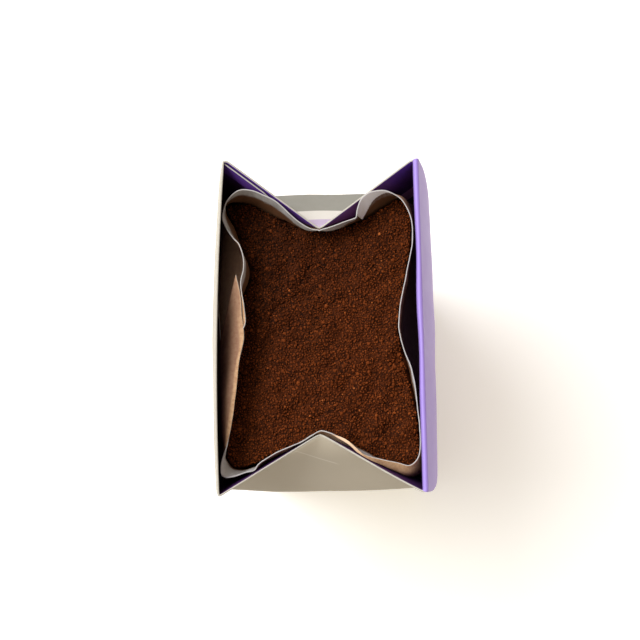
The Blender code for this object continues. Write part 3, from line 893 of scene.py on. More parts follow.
@dataclass
class Carton:
    """The folded carton: its board, the hem on its right rim, a glue flap and the base."""

    form: CartonForm
    shift: Array
    board: float = 0.5
    gusset_columns: int = 96
    wall_columns: int = 116
    top_rows: int = 48
    hem_radius: float = 0.8
    hem_drop: float = 2.6
    hem_trim: float = 0.6
    corner_passes: int = 10
    flap_depth: float = 1.0
    dent: float = 0.12

    def build(self) -> None:
        """Makes and dresses every piece of the carton."""
        finishes = [PrintedBoard().material(), PurpleLining().material(), CutBoard().material()]
        shell = self._shell().make(self.shift)
        give_wall(shell, self.board)
        dress(shell, finishes, "carton")
        flap = self._glue_flap().make(self.shift)
        give_wall(flap, 0.4)
        dress(flap, [finishes[1], finishes[1], finishes[2]])
        base = self._base().make(self.shift)
        dress(base, [self._base_finish()])

    def _runs(self) -> list[tuple[Face, Array, float, float]]:
        """The faces clockwise, each with its columns and where it starts and ends along the blank."""
        gusset = np.linspace(-1.0, 1.0, self.gusset_columns + 1)
        wall = np.linspace(1.0, -1.0, self.wall_columns + 1)
        return [
            (Face.BACK, gusset, 0.0, 70.0),
            (Face.RIGHT, wall, 70.0, 170.0),
            (Face.FRONT, -gusset, 170.0, 240.0),
            (Face.LEFT, -wall, 240.0, 340.0),
        ]

    def _shell(self) -> Pattern:
        """The board as one sheet from the foot to the rim, and on over the right rim as the hem.

        The grid's columns go round the four faces and its rows from the foot up. Soft waves a
        tenth of a millimetre high make it uneven. The hem is a half turn of the rim's line about
        a level axis just inside it, then a straight drop.
        """
        foot = np.array([0.0, 0.12, 0.3, 0.6, 1.0, 1.8, 3.0])
        low = np.linspace(6.0, self.form.shoulder_z - 3.0, 34)
        near = self.form.shoulder_z - np.array([2.0, 1.4, 0.9, 0.45])
        body = np.concatenate([foot, low, near]) / self.form.shoulder_z - 1.0
        t = np.concatenate([body, np.linspace(0.0, 1.0, self.top_rows + 1)])[:, None]
        blocks = [self.form.points(face, across[None, :-1], t) for face, across, _, _ in self._runs()]
        grid = np.concatenate(blocks, axis=1)
        rows, columns, _ = grid.shape
        down = np.where(t >= 0, self.form.lean * (1.0 - t), self.form.lean - self.form.shoulder_z * t)
        along = [np.linspace(start, end, len(a))[:-1] for _, a, start, end in self._runs()]
        along = np.concatenate([*along, [340.0]])
        grid = self._rounded(grid, along[:-1], t)
        left = grid[..., 0] < 0
        limit = np.where(left, *self.form.blunt)
        blunted = grid[..., 1] - soft_ramp(grid[..., 1] - limit, 0.2)
        limit = np.where(left, *self.form.blunt_front)
        blunted = blunted + soft_ramp(limit - blunted, 0.2)
        grid[..., 1] = np.where((np.abs(grid[..., 0]) > 20.0) & (t > 0.5), blunted, grid[..., 1])
        grid = self._uneven(grid, along[:-1], down)
        faces, corners = grid_quads(rows, columns, closed=True)
        blank = np.stack(np.broadcast_arrays(along[None], down), axis=-1).reshape(-1, 2)

        line = np.arange(self.gusset_columns, self.gusset_columns + self.wall_columns + 1)
        rim = grid[-1, line]
        angle = np.linspace(0.0, math.pi, 9)[1:]
        over = self.hem_radius * (1.0 - np.cos(angle))
        rise = self.hem_radius * np.sin(angle)
        over = np.concatenate([over, np.full(4, 2.0 * self.hem_radius)])
        rise = np.concatenate([rise, -np.linspace(0.0, self.hem_drop, 5)[1:]])
        middle = (rim[0, 1] + rim[-1, 1]) / 2.0
        share = over / (2.0 * self.hem_radius)
        squeeze = 1.0 - self.hem_trim * share**4 / abs(rim[0, 1] - middle)
        hem = np.repeat(rim[None], len(over), axis=0)
        hem[..., 0] -= over[:, None]
        hem[..., 1] = middle + (hem[..., 1] - middle) * squeeze[:, None]
        hem[..., 2] += rise[:, None]
        hem[..., 0] += 0.10 * waves(hem[..., 1], hem[..., 2] * 0.0, 30.0, 4) * share[:, None]
        start = rows * columns
        numbers = np.concatenate([(rows - 1) * columns + line[None], start + np.arange(hem[..., 0].size).reshape(hem.shape[:2])])
        quads, places = grid_quads(len(numbers), len(line), closed=False)
        travel = np.concatenate([[0.0], np.cumsum(np.hypot(np.diff(np.concatenate([[0.0], over])), np.diff(np.concatenate([[0.0], rise]))))])
        hem_map = np.stack(np.broadcast_arrays(along[None, line], -travel[:, None]), axis=-1).reshape(-1, 2)
        points = np.concatenate([grid.reshape(-1, 3), hem.reshape(-1, 3)])
        faces = np.concatenate([faces, numbers.ravel()[quads]])
        marks = np.concatenate([blank[corners.ravel()], hem_map[places.ravel()]])
        return Pattern("carton_board", points, faces, marks)

    def _rounded(self, grid: Array, along: Array, t: Array) -> Array:
        """Rounds the four upright folds, fully from the foot to the shoulder and less and less above.

        Args:
            grid: the sheet.
            along: each column's place along the blank.
            t: each row's place up the wall.

        Returns:
            The rounded sheet.
        """
        folds = np.array([0.0, 70.0, 170.0, 240.0, 340.0])
        near = np.abs(along[:, None] - folds).min(axis=1)
        share = smooth_step((8.0 - near) / 4.0)[None] * (1.0 - smooth_step(t / 0.85))
        once = soften(grid, 2, 1, closed=True)
        once[-1] = np.where((near < 5.0)[:, None], once[-1], grid[-1])
        round_grid = soften(grid, self.corner_passes, 1, closed=True)
        return once * (1.0 - share[..., None]) + round_grid * share[..., None]

    def _uneven(self, grid: Array, along: Array, down: Array) -> Array:
        """Adds the board's soft dents: waves across each face that fade at its folds and its rim."""
        width = np.where((along < 70.0) | ((along > 170.0) & (along < 240.0)), 70.0, 100.0)
        begin = np.select([along < 70.0, along < 170.0, along < 240.0], [0.0, 70.0, 170.0], 240.0)
        share = (along - begin) / width
        fade = np.sin(math.pi * np.clip(share, 0, 1))[None] * smooth_step(down / 12.0)
        fade = fade * smooth_step((170.0 - down) / 20.0)
        depth = self.dent * waves(along[None], down, 26.0, 11) * fade
        centre = np.array([0.0, 0.0])
        outward = grid[..., :2] - centre
        level = outward / np.linalg.norm(outward, axis=-1, keepdims=True)
        grid[..., :2] += level * depth[..., None]
        return grid

    def _glue_flap(self) -> Pattern:
        """The glued seam inside the back left wing: a strip of the same surface, further in.

        It runs from the corner fold to mid wing, and from just under the rim to well below it.
        """
        s = np.linspace(-0.965, -0.5, 60)[None]
        top = 0.985 - 0.02 * smooth_step((s + 0.56) / 0.06)
        share = np.linspace(0.0, 1.0, 24)[:, None]
        t = 0.82 + (top - 0.82) * share
        grid = self.form.points(Face.BACK, s, t, 0.0)
        grid = grid + np.array([-0.566, -0.825, 0.0]) * self.flap_depth
        faces, corners = grid_quads(24, 60, closed=False)
        blank = np.stack(np.broadcast_arrays(35.0 + 35.0 * s, 30.0 * (1.0 - t)), axis=-1).reshape(-1, 2)
        return Pattern("carton_glue_flap", grid.reshape(-1, 3), faces, blank[corners.ravel()])

    def _base(self) -> Pattern:
        """The folded base: two end flaps under one long flap, as a sheet of level steps.

        The height is 0 on the long flap. Past its free edge, which runs across the base a third of
        the way from the left, it steps up by the board's thickness, and again past the slanting
        edges of the end flaps under it.
        """
        half = np.array(self.form.base_half) - self.form.base_edge
        x = np.linspace(-1.0, 1.0, 121)[None] * half[0]
        y = np.linspace(-1.0, 1.0, 161)[:, None] * half[1]
        under = smooth_step((-11.0 - x) / 0.25 + 0.5)
        slant = np.abs(y) - (half[1] - 24.0) - 0.5 * (-11.0 - x)
        ends = smooth_step(-slant / 0.25 + 0.5)
        z = 0.42 * under + 0.4 * under * ends + 0.0 * y
        edge = np.minimum(half[0] - np.abs(x), half[1] - np.abs(y))
        z = z * smooth_step(edge / 0.8)
        grid = np.stack(np.broadcast_arrays(x, y, z), axis=-1)
        faces, corners = grid_quads(161, 121, closed=False)
        blank = np.stack(np.broadcast_arrays(x, y), axis=-1).reshape(-1, 2)
        return Pattern("carton_base", grid.reshape(-1, 3), faces, blank[corners.ravel()])

    def _base_finish(self) -> bpy.types.Material:
        """Plain greige print with a paler line where the long flap ends.

        Returns:
            The material.
        """
        mix = Recipe("base_board", 0.5, 0.4)
        along, _ = mix.blank()
        place = mix.place()
        cloud = mix.mix(mix.noise(place, 40.0, 3.0), tone(188, 182, 166), tone(172, 166, 152))
        edge = mix.between(along, -11.25, -10.95, 0.06)
        mix.colour(mix.mix(edge, cloud, tone(236, 230, 220)))
        mix.bump(mix.noise(place, 900.0, 2.0), 0.00006, 0.35)
        return mix.material


# ---------------------------------------------------------------- the bag


@dataclass(frozen=True)
class Run:
    """One stretch of the bag between two of its upright folds, going clockwise.

    rim and level are control points at the free rim and at the height of the grounds. roll says
    how far the paper curls over on its way up, at even places along the run: at 0 it leans evenly
    away from the board, at 1 it stays by the board and then turns over by a quarter round.
    """

    face: Face
    start: float
    end: float
    columns: int
    rim: tuple[tuple[float, float, float], ...]
    level: tuple[tuple[float, float], ...]
    roll: tuple[float, ...] = (0.1, 0.1)


@dataclass(frozen=True)
class BagForm:
    """The bag's paper surface in millimetres: its runs, and how they hang between foot and rim."""

    form: CartonForm
    gap: float = 0.9  # from the carton's outer surface to the bag's
    least_gap: float = 0.7
    corner: float = 6.5
    level_z: float = 146.5
    fold: tuple[float, float] = (0.40, 0.88)  # ends of the slanting fold, as shares of the third run
    fold_depth: float = 2.0
    runs: tuple[Run, ...] = (
        Run(Face.LEFT, -0.16, 1.0, 130,
            ((-23.9, -1.0, 156.2), (-23.2, 1.4, 156.3), (-23.6, 6.2, 156.4), (-24.6, 11.4, 156.4),
             (-24.6, 14.0, 156.5), (-23.8, 17.4, 156.6), (-23.8, 20.8, 156.8), (-25.1, 25.2, 156.8),
             (-27.0, 27.3, 156.8), (-29.2, 30.9, 156.9), (-30.2, 34.2, 157.0)),
            ((-30.4, -7.0), (-29.6, -1.0), (-27.4, 6.5), (-25.2, 12.2), (-23.3, 18.8),
             (-26.0, 27.2), (-28.4, 34.0), (-30.8, 38.2)), (0.2, 0.0, 0.0)),
        Run(Face.BACK, -1.0, 0.0, 90,
            ((-29.3, 38.7, 157.0), (-27.1, 41.5, 157.2), (-24.6, 42.8, 157.4), (-21.5, 42.7, 157.4),
             (-18.3, 41.6, 157.2), (-13.8, 39.2, 156.8), (-9.2, 35.1, 155.6), (-6.2, 32.5, 154.6),
             (-3.1, 30.8, 153.7)),
            ((-31.5, 41.0), (-29.2, 42.7), (-25.4, 43.0), (-20.9, 42.0), (-17.3, 40.0), (-13.0, 37.2),
             (-9.3, 35.2), (-4.5, 34.5)), (0.1, 0.1)),
        Run(Face.BACK, 0.0, 1.0, 130,
            ((-0.8, 30.5, 153.2), (2.9, 31.0, 153.6), (7.2, 32.3, 154.4), (10.5, 33.1, 155.2),
             (11.2, 33.5, 155.6), (11.5, 35.3, 156.0), (12.6, 38.3, 157.0), (14.4, 39.9, 157.8),
             (16.4, 40.7, 158.2), (20.1, 40.9, 158.2), (23.1, 39.8, 157.6)),
            ((0.2, 34.2), (5.0, 34.2), (9.5, 34.4), (12.6, 36.0), (17.1, 38.3), (21.4, 40.8),
             (25.4, 42.4)), (0.1, 0.1)),
        Run(Face.RIGHT, 1.0, -1.0, 150,
            ((26.0, 37.5, 156.9), (28.1, 32.7, 156.6), (28.6, 28.0, 156.5), (28.2, 23.4, 156.5),
             (26.3, 14.8, 156.5), (24.3, 6.5, 156.5), (23.4, 0.0, 156.5), (23.3, -3.0, 156.5),
             (24.6, -8.6, 156.5), (26.4, -13.9, 156.5), (27.5, -20.0, 156.5), (28.1, -28.5, 156.5),
             (28.4, -35.4, 156.5)),
            ((28.1, 41.0), (29.5, 36.5), (29.3, 28.0), (27.2, 15.0), (24.3, 0.0), (26.4, -12.0),
             (28.8, -26.0), (29.6, -37.0)), (0.1, 0.0, 0.1)),
        Run(Face.FRONT, 1.0, 0.0, 140,
            ((28.0, -39.2, 156.5), (26.6, -41.6, 156.5), (24.6, -42.7, 156.5), (21.8, -42.0, 156.4),
             (17.8, -41.2, 156.3), (14.3, -40.2, 156.1), (12.0, -39.3, 156.0), (11.0, -38.7, 156.0),
             (9.4, -37.3, 156.0), (7.0, -35.2, 156.0), (4.6, -33.9, 155.9), (2.0, -33.0, 155.7),
             (-0.2, -32.3, 155.4)),
            ((30.5, -41.2), (28.6, -44.8), (25.2, -46.2), (21.2, -44.6), (17.2, -42.4), (13.4, -40.0),
             (9.8, -38.0), (5.0, -37.3)), (0.3, 0.45, 0.5, 0.6, 1.0, 1.0, 1.0, 0.3)),
        Run(Face.FRONT, 0.0, -1.0, 100,
            ((-1.5, -32.4, 155.3), (-3.6, -33.7, 155.6), (-6.9, -35.6, 155.9), (-12.8, -37.8, 156.3),
             (-17.2, -40.3, 156.5), (-19.2, -41.8, 156.6), (-20.4, -43.4, 156.6), (-23.1, -44.0, 156.8),
             (-26.4, -45.0, 157.0), (-28.6, -45.3, 157.0)),
            ((-0.5, -37.1), (-6.0, -37.3), (-11.0, -37.7), (-16.0, -39.7), (-21.0, -42.1),
             (-25.4, -43.2)), (0.2, 0.2)),
        Run(Face.LEFT, -1.0, 0.3, 190,
            ((-30.2, -44.4, 156.9), (-30.3, -41.3, 156.8), (-28.6, -35.8, 156.5), (-27.0, -28.4, 156.3),
             (-25.9, -19.6, 156.1), (-25.0, -10.6, 156.0), (-23.9, -5.6, 156.0), (-23.6, -2.6, 156.1),
             (-24.2, 3.0, 156.3), (-24.6, 9.0, 156.6), (-25.9, 15.6, 157.2)),
            ((-28.6, -42.3), (-30.8, -38.5), (-32.0, -30.0), (-32.3, -18.0), (-32.3, -3.0)),
            (0.1, 1.0, 1.0, 1.0, 0.7, 0.4, 0.2)),
    )

    def sections(self, runs: tuple[Run, ...], inset: float, closed: bool) -> tuple[Array, Array, Array]:
        """The bag's plan at the grounds' level and at its rim.

        Args:
            runs: the stretches.
            inset: how far inside the paper's outer side.
            closed: whether the last run is joined to the first.

        Returns:
            The points at the level, those at the rim, and the roll of each column.
        """
        levels, rims, rolls = [], [], []
        for k, run in enumerate(runs):
            last = k == len(runs) - 1 and not closed
            for source, kept in ((("level"), levels), (("rim"), rims)):
                own = [list(p) for p in getattr(run, source)]
                if k or closed:
                    before = [list(getattr(runs[k - 1], source)[-1])]
                else:
                    before = [list(2 * np.array(own[0]) - np.array(own[1]))]
                if last:
                    after = [list(2 * np.array(own[-1]) - np.array(own[-2]))]
                else:
                    follow = getattr(runs[(k + 1) % len(runs)], source)
                    after = [list(follow[0]), list(follow[1])]
                path = curve_through([*before, *own, *after], run.columns)
                kept.append(path if last else path[:-1])
            count = len(rims[-1])
            rolls.append(np.interp(np.arange(count) / count, np.linspace(0.0, 1.0, len(run.roll)), run.roll))
        level = np.concatenate(levels)
        rim = np.concatenate(rims)
        roll = np.concatenate(rolls)
        level = np.column_stack([level, np.full(len(level), self.level_z)])
        roll = soften(roll[None, :, None], 14, 1, closed)[0, :, 0]
        return self._shrink(level, inset, closed), self._shrink(rim, inset, closed), roll

    def _shrink(self, loop: Array, distance: float, closed: bool) -> Array:
        """Moves a clockwise loop inwards, square to its run, by distance."""
        if distance == 0.0:
            return loop
        along = np.roll(loop, -1, axis=0)[:, :2] - np.roll(loop, 1, axis=0)[:, :2]
        if not closed:
            along[0], along[-1] = along[1], along[-2]
        along = along / np.linalg.norm(along, axis=1)[:, None]
        moved = loop.copy()
        moved[:, 0] += distance * along[:, 1]
        moved[:, 1] -= distance * along[:, 0]
        return moved

    def columns(self, runs: tuple[Run, ...], closed: bool) -> list[tuple[Face, Array]]:
        """Where each run's columns stand on the carton's faces."""
        found = []
        for k, run in enumerate(runs):
            last = k == len(runs) - 1 and not closed
            across = np.linspace(run.start, run.end, run.columns + 1)
            found.append((run.face, across if last else across[:-1]))
        return found

    def lining(self, runs: tuple[Run, ...], closed: bool, t: Array, inset: float) -> Array:
        """The surface that lines the board, at one share t of the lean to each column."""
        pieces, first = [], 0
        for face, across in self.columns(runs, closed):
            own = t[..., first : first + len(across)]
            pieces.append(self.form.points(face, across, own, self.gap + inset))
            first += len(across)
        return np.concatenate(pieces, axis=-2)

    def round_off(self, rows: Array, inset: float) -> Array:
        """Rounds the four upright corners: what lies in a corner's square is drawn into its quarter circle."""
        radius = self.corner - inset
        extent = np.abs(rows[..., :2]).max(axis=-2, keepdims=True)
        inside = np.clip(radius - (extent - np.abs(rows[..., :2])), 0.0, None)
        length = np.linalg.norm(inside, axis=-1, keepdims=True)
        both = np.all(inside > 0, axis=-1, keepdims=True)
        factor = np.where(both & (length > radius), radius / np.maximum(length, 1e-9), 1.0)
        moved = rows.copy()
        moved[..., :2] -= np.sign(rows[..., :2]) * inside * (1.0 - factor)
        return moved

    def share_at(self, runs: tuple[Run, ...], closed: bool, inset: float, height: Array | float) -> Array:
        """The share t of the lean at which the lining of each column has the given height."""
        fine = np.linspace(0.0, 1.0, 61)
        count = sum(len(across) for _, across in self.columns(runs, closed))
        whole = self.lining(runs, closed, np.repeat(fine[:, None], count, axis=1), inset)
        spot = np.clip((whole[..., 2] < height).sum(axis=0), 1, len(fine) - 1)
        index = np.arange(count)
        under, over = whole[spot - 1, index, 2], whole[spot, index, 2]
        share = fine[spot - 1] + (height - under) / np.maximum(over - under, 1e-6) / 60.0
        return np.clip(share, 0.05, 1.0)

    def held_in(self, rows: Array, inset: float) -> Array:
        """Draws what would pass through a gusset back on to its lining.

        The place of the lining that has a point's x and z is found by rounds of correction. How
        far the point lies past it in y is taken off, as a soft ramp.

        Args:
            rows: the points, which are changed.
            inset: how far inside the paper's outer side.

        Returns:
            The points.
        """
        for face in (Face.FRONT, Face.BACK):
            side = self.form.out(face)[1]
            near = (rows[..., 1] * side > 28.0) & (rows[..., 2] > self.form.shoulder_z)
            x, y, z = rows[near].T
            half, rise = self.form.rim_at(self.form.ends(face)[1], 0.0)[[0, 2]] - [0.0, self.form.shoulder_z]
            across, up = np.clip(x / half, -1.0, 1.0), (z - self.form.shoulder_z) / rise
            for _ in range(12):
                found = self.form.points(face, across, up, self.least_gap + inset)
                across = np.clip(across + (x - found[:, 0]) / half, -1.0, 1.0)
                up = np.clip(up + (z - found[:, 2]) / rise, 0.0, 1.0)
            past = soft_ramp((y - found[:, 1]) * side, 0.1)
            rows[near, 1] -= side * past * (np.abs(z - found[:, 2]) < 0.5)
        return rows

    def lower(self, runs: tuple[Run, ...], inset: float, closed: bool, body: Array, shares: Array) -> Array:
        """The rows from the foot to the grounds' level.

        Below the shoulder the bag lines the carton with rounded corners. From there to the level
        it goes from that line to its own outline at the level: with the square of the height on
        the left, where it bellies out, and with the root of the height on the right.

        Args:
            runs: the stretches.
            inset: how far inside the paper's outer side.
            closed: whether the last run is joined to the first.
            body: heights below the shoulder.
            shares: shares of the way from the shoulder to the level.

        Returns:
            Rows, columns and xyz.
        """
        level, _, _ = self.sections(runs, inset, closed)
        count = len(level)
        heights = np.repeat((body / self.form.shoulder_z - 1.0)[:, None], count, axis=1)
        low = self.round_off(self.lining(runs, closed, heights, inset), inset)
        t_level = self.share_at(runs, closed, inset, self.level_z)
        at_shoulder = self.lining(runs, closed, np.zeros(count), inset)
        away_low = self.round_off(at_shoulder, inset) - at_shoulder
        away_high = level - self.lining(runs, closed, t_level, inset)
        share = shares[:, None]
        eager = smooth_step((level[:, 0] + 12.0) / 24.0)
        free = (share ** (2.0 - 1.5 * eager))[..., None]
        rise = self.lining(runs, closed, t_level[None] * share, inset)
        middle = rise + away_low[None] * (1 - free) + away_high[None] * free
        return np.concatenate([low, self.held_in(middle, inset)])

    def upper(self, runs: tuple[Run, ...], inset: float, closed: bool, w: Array) -> Array:
        """The rows from the grounds' level to the rim.

        A row is the lining at its own share of the lean, moved away from the board by a mix of
        what the level and the rim ask for. On a straight stretch both are even in w. On a rolled
        one the paper first climbs by the board and then turns over into a nearly level lip, with
        both changes as soft ramps.

        Args:
            runs: the stretches.
            inset: how far inside the paper's outer side.
            closed: whether the last run is joined to the first.
            w: shares of the way from the level to the rim.

        Returns:
            Rows, columns and xyz.
        """
        level, rim, roll = self.sections(runs, inset, closed)
        t_level = self.share_at(runs, closed, inset, self.level_z)
        t_rim = soften(self.share_at(runs, closed, inset, rim[:, 2])[None, :, None], 6, 1, closed)[0, :, 0]
        w = w[:, None]
        late = w * (1 - roll) + soft_ramp(w - 0.4, 0.1) / soft_ramp(np.array(0.6), 0.1) * roll
        early = w * (1 - roll) + (1.0 - soft_ramp(0.5 - w, 0.1) / soft_ramp(np.array(0.5), 0.1)) * roll
        late = (late - late[0]) / (late[-1] - late[0])
        early = (early - early[0]) / (early[-1] - early[0])
        away_level = level - self.lining(runs, closed, t_level, inset)
        away_rim = rim - self.lining(runs, closed, t_rim, inset)
        rows = self.lining(runs, closed, t_level + (t_rim - t_level) * early, inset)
        rows = rows + away_level * (1.0 - late[..., None]) + away_rim * late[..., None]
        return self.held_in(rows, inset)


@dataclass
class InnerBag:
    """The paper bag: one strip wrapped round, whose ends overlap at the left wall."""

    form: BagForm
    shift: Array
    paper: float = 0.3
    upper_rows: int = 38
    crinkle: float = 0.035

    def build(self) -> None:
        """Makes and dresses the bag."""
        finishes = [KraftPaper().material(), SealPaper().material(), CutPaper().material()]
        wrap = self._wrap().make(self.shift)
        give_wall(wrap, self.paper)
        dress(wrap, finishes, "bag")

    def _wrap(self) -> Pattern:
        """The strip from its inner end, clockwise round to its outer end.

        Its rows go from the foot over the shoulder and the grounds' level to the rim. The paper
        below the rim has crinkles: waves that are short along the strip and long down it.
        """
        form = self.form
        body = np.array([1.2, 4.0, 30.0, 65.0, 100.0, 122.0])
        lower = form.lower(form.runs, 0.0, False, body, np.linspace(0.0, 1.0, 8, endpoint=False))
        w = np.linspace(0.0, 1.0, self.upper_rows + 1)
        grid = np.concatenate([lower, form.upper(form.runs, 0.0, False, w)])
        first = form.runs[0].columns
        tuck = np.zeros(grid.shape[1])
        tuck[:first] = 1.0 - smooth_step(np.arange(first) / (0.3 * first))
        under = smooth_step((form.level_z + 4.0 - grid[..., 2]) / 8.0)
        grid[..., 0] += 0.8 * tuck * under
        knee = self._slanting_fold(grid, len(lower), w)
        rim = grid[-1]
        run = np.concatenate([[0.0], np.cumsum(np.linalg.norm(np.diff(rim, axis=0), axis=1))])
        down = rim[None, :, 2] - grid[..., 2]
        grid = self._crinkled(grid, run, down)
        rows, columns, _ = grid.shape
        faces, corners = grid_quads(rows, columns, closed=False)
        blank = np.stack(np.broadcast_arrays(run[None], down), axis=-1).reshape(-1, 2)
        clean = 2.2 + 4.0 * smooth_step((-34.0 - rim[:, 1]) / 8.0)
        dust = smooth_step((down - clean[None]) / 4.5)
        height = np.concatenate([np.full(len(lower), -1.0), w])[:, None]
        folded = (knee < 1.0)[None] & (height > knee)
        # Above the slanting fold the dust mark is set under 0, which the seal paper shows as painted light.
        dust = np.where(folded, -1.0, dust)
        before = sum(run.columns for run in form.runs[:2])
        share = (np.arange(columns) - before) / form.runs[2].columns
        beside = smooth_step((share - form.fold[0]) / 0.02) * smooth_step((1.25 - share) / 0.2)
        dust = np.where(folded, dust, np.maximum(dust, 0.75 * beside[None]))
        # The second mark is painted light and shade on the kraft.
        marks = {"dust": dust, "painted_light_shade": self._painted_light_shade(grid, rim)}
        return Pattern("bag_wrap", grid.reshape(-1, 3), faces, blank[corners.ravel()], marks)

    def _painted_light_shade(self, grid: Array, rim: Array) -> Array:
        """How far the kraft is darkened by painted shade, or lightened by painted light where it is under 0.

        It rises with the distance from the rim in plan, as painted shade where the board shades the paper. Behind the
        tongue and on the front lip the paper is lightened by painted light. The tongue's end gets darker painted
        shade. On the right it rises again below the grounds' level, up to 2, as near-black painted shade.
        """
        away = np.linalg.norm(grid[..., :2] - rim[None, :, :2], axis=-1)
        # Painted shade: darker with the distance from the rim, where the board's shade falls.
        painted_light_shade = 0.85 * smooth_step((away - 1.5) / 2.0)
        number = np.arange(grid.shape[1])
        tongue = smooth_step((number - grid.shape[1] + 62.0) / 40.0)
        # Painted shade: the tongue's end made darker.
        painted_light_shade = np.maximum(painted_light_shade, 0.8 * tongue[None] * smooth_step((away - 0.15) / 0.7))
        behind = number < self.form.runs[0].columns
        # Painted light: behind the tongue the paper is made paler.
        painted_light_shade = np.where(behind[None], -0.6 * smooth_step(away / 2.0), painted_light_shade)
        # Painted light: the front lip is made paler.
        lip = hump(rim[:, 0], 5.5, 4.5) * (rim[:, 1] < -30.0)
        painted_light_shade = np.where(lip[None] > 0.2, -lip[None], painted_light_shade)
        # Painted shade: near black below the grounds' level on the right, where there is only shade.
        deep = smooth_step((self.form.level_z + 1.0 - grid[..., 2]) / 2.0) * (grid[..., 0] > 0)
        return painted_light_shade * (1.0 - deep) + 2.0 * deep

    def _slanting_fold(self, grid: Array, first: int, w: Array) -> Array:
        """Creases the paper of the back right along a slanting line.

        The line starts low on the free height and rises evenly to the rim. There the paper is
        drawn inwards, in proportion to the distance from the line on either side of it.

        Args:
            grid: the strip, which is changed.
            first: the row at the grounds' level.
            w: shares of the free height, one for each row from there up.

        Returns:
            The line's share of the free height in each column, or 1 where there is no fold.
        """
        form = self.form
        before = sum(run.columns for run in form.runs[:2])
        share = (np.arange(grid.shape[1]) - before) / form.runs[2].columns
        place = (share - form.fold[0]) / (form.fold[1] - form.fold[0])
        dip = smooth_step(place / 0.08) * np.clip(1.0 - place, 0.0, 1.0)
        knee = 1.0 - 0.62 * dip
        up = w[:, None]
        tent = np.minimum(up / knee, (1.0 - up) / np.maximum(1.0 - knee, 1e-6))
        inward = np.array([0.5, -0.8, -0.35]) * form.fold_depth
        grid[first:] += (tent * dip)[..., None] * inward
        return knee

    def _crinkled(self, grid: Array, run: Array, down: Array) -> Array:
        """Moves the paper in and out, square to its run, where it hangs free."""
        along = np.gradient(grid[..., :2], axis=1)
        along /= np.maximum(np.linalg.norm(along, axis=-1, keepdims=True), 1e-6)
        free = smooth_step((13.0 - down) / 6.0)
        depth = self.crinkle * waves(run[None], down * 0.35, 9.0, 21) * free * (1.0 + down / 3.0)
        grid[..., 0] += depth * along[..., 1]
        grid[..., 1] -= depth * along[..., 0]
        return grid


# ---------------------------------------------------------------- the coffee


@dataclass(frozen=True)
class CoffeeBed:
    """The top of the grounds as a height over the plan, in millimetres."""

    level: float = 147.0
    swell: float = 0.5
    clump: float = 0.36
    crack: float = 0.70
    hollow: float = 0.7
    sunk: float = 0.24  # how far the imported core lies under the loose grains
    grain: float = 0.85
    grain_height: float = 0.26

    def shade(self, x: Array, y: Array) -> Array:
        """How near a place is to the left and the back of the bag, from 0 to 1: the bed is lower there, and the
        grounds get painted shade there.
        """
        return smooth_step((14.0 - x + 0.75 * (y - 2.0)) / 56.0)

    def height(self, x: Array, y: Array) -> Array:
        """The level, lower to the left and back, plus long swells, shorter clumps and cracks.

        The cracks follow the lines where an uneven field is 0.
        """
        swell = self.swell * waves(x, y, 34.0, 31) - self.hollow * self.shade(x, y)
        clump = self.clump * waves(x, y, 6.5, 32, 14)
        cracks = 1.0 - smooth_step(np.abs(waves(x, y, 13.0, 33, 14)) / 0.10)
        broken = smooth_step(waves(x, y, 17.0, 34) + 0.6)
        return self.level + swell + clump - self.crack * cracks * broken

    def grains(self, x: Array, y: Array) -> tuple[Array, Array]:
        """Packed grains: a dome over each point of a jittered lattice, and each grain's own number.

        The plane is cut into square cells with one seeded point in each. A place belongs to the
        nearest of the nine points round it, and its dome falls off with the square of the
        distance.

        Args:
            x: first coordinate.
            y: second coordinate.

        Returns:
            The height of the domes from 0 to 1, and a number from 0 to 1 for each grain.
        """
        cell_x = np.floor(x / self.grain).astype(int)
        cell_y = np.floor(y / self.grain).astype(int)
        nearest = np.full(x.shape, 9.0)
        own = np.zeros(x.shape)
        for step_x in (-1, 0, 1):
            for step_y in (-1, 0, 1):
                column, row = cell_x + step_x, cell_y + step_y
                mixed = np.sin(column * 127.1 + row * 311.7) * 43758.5453
                other = np.sin(column * 269.5 + row * 183.3) * 24634.6345
                jitter_x, jitter_y = mixed - np.floor(mixed), other - np.floor(other)
                gap = (column + jitter_x - x / self.grain) ** 2 + (row + jitter_y - y / self.grain) ** 2
                closer = gap < nearest
                nearest = np.where(closer, gap, nearest)
                own = np.where(closer, (jitter_x + jitter_y * 7.0) % 1.0, own)
        return np.clip(1.0 - nearest / 0.55, 0.0, 1.0), own


@dataclass(frozen=True)
class GrainKind:
    """One size of loose grain."""

    name: str
    spacing: float
    smallest: float
    largest: float
    lift: float
    divisions: int
    seed: int
    share: float = 1.0


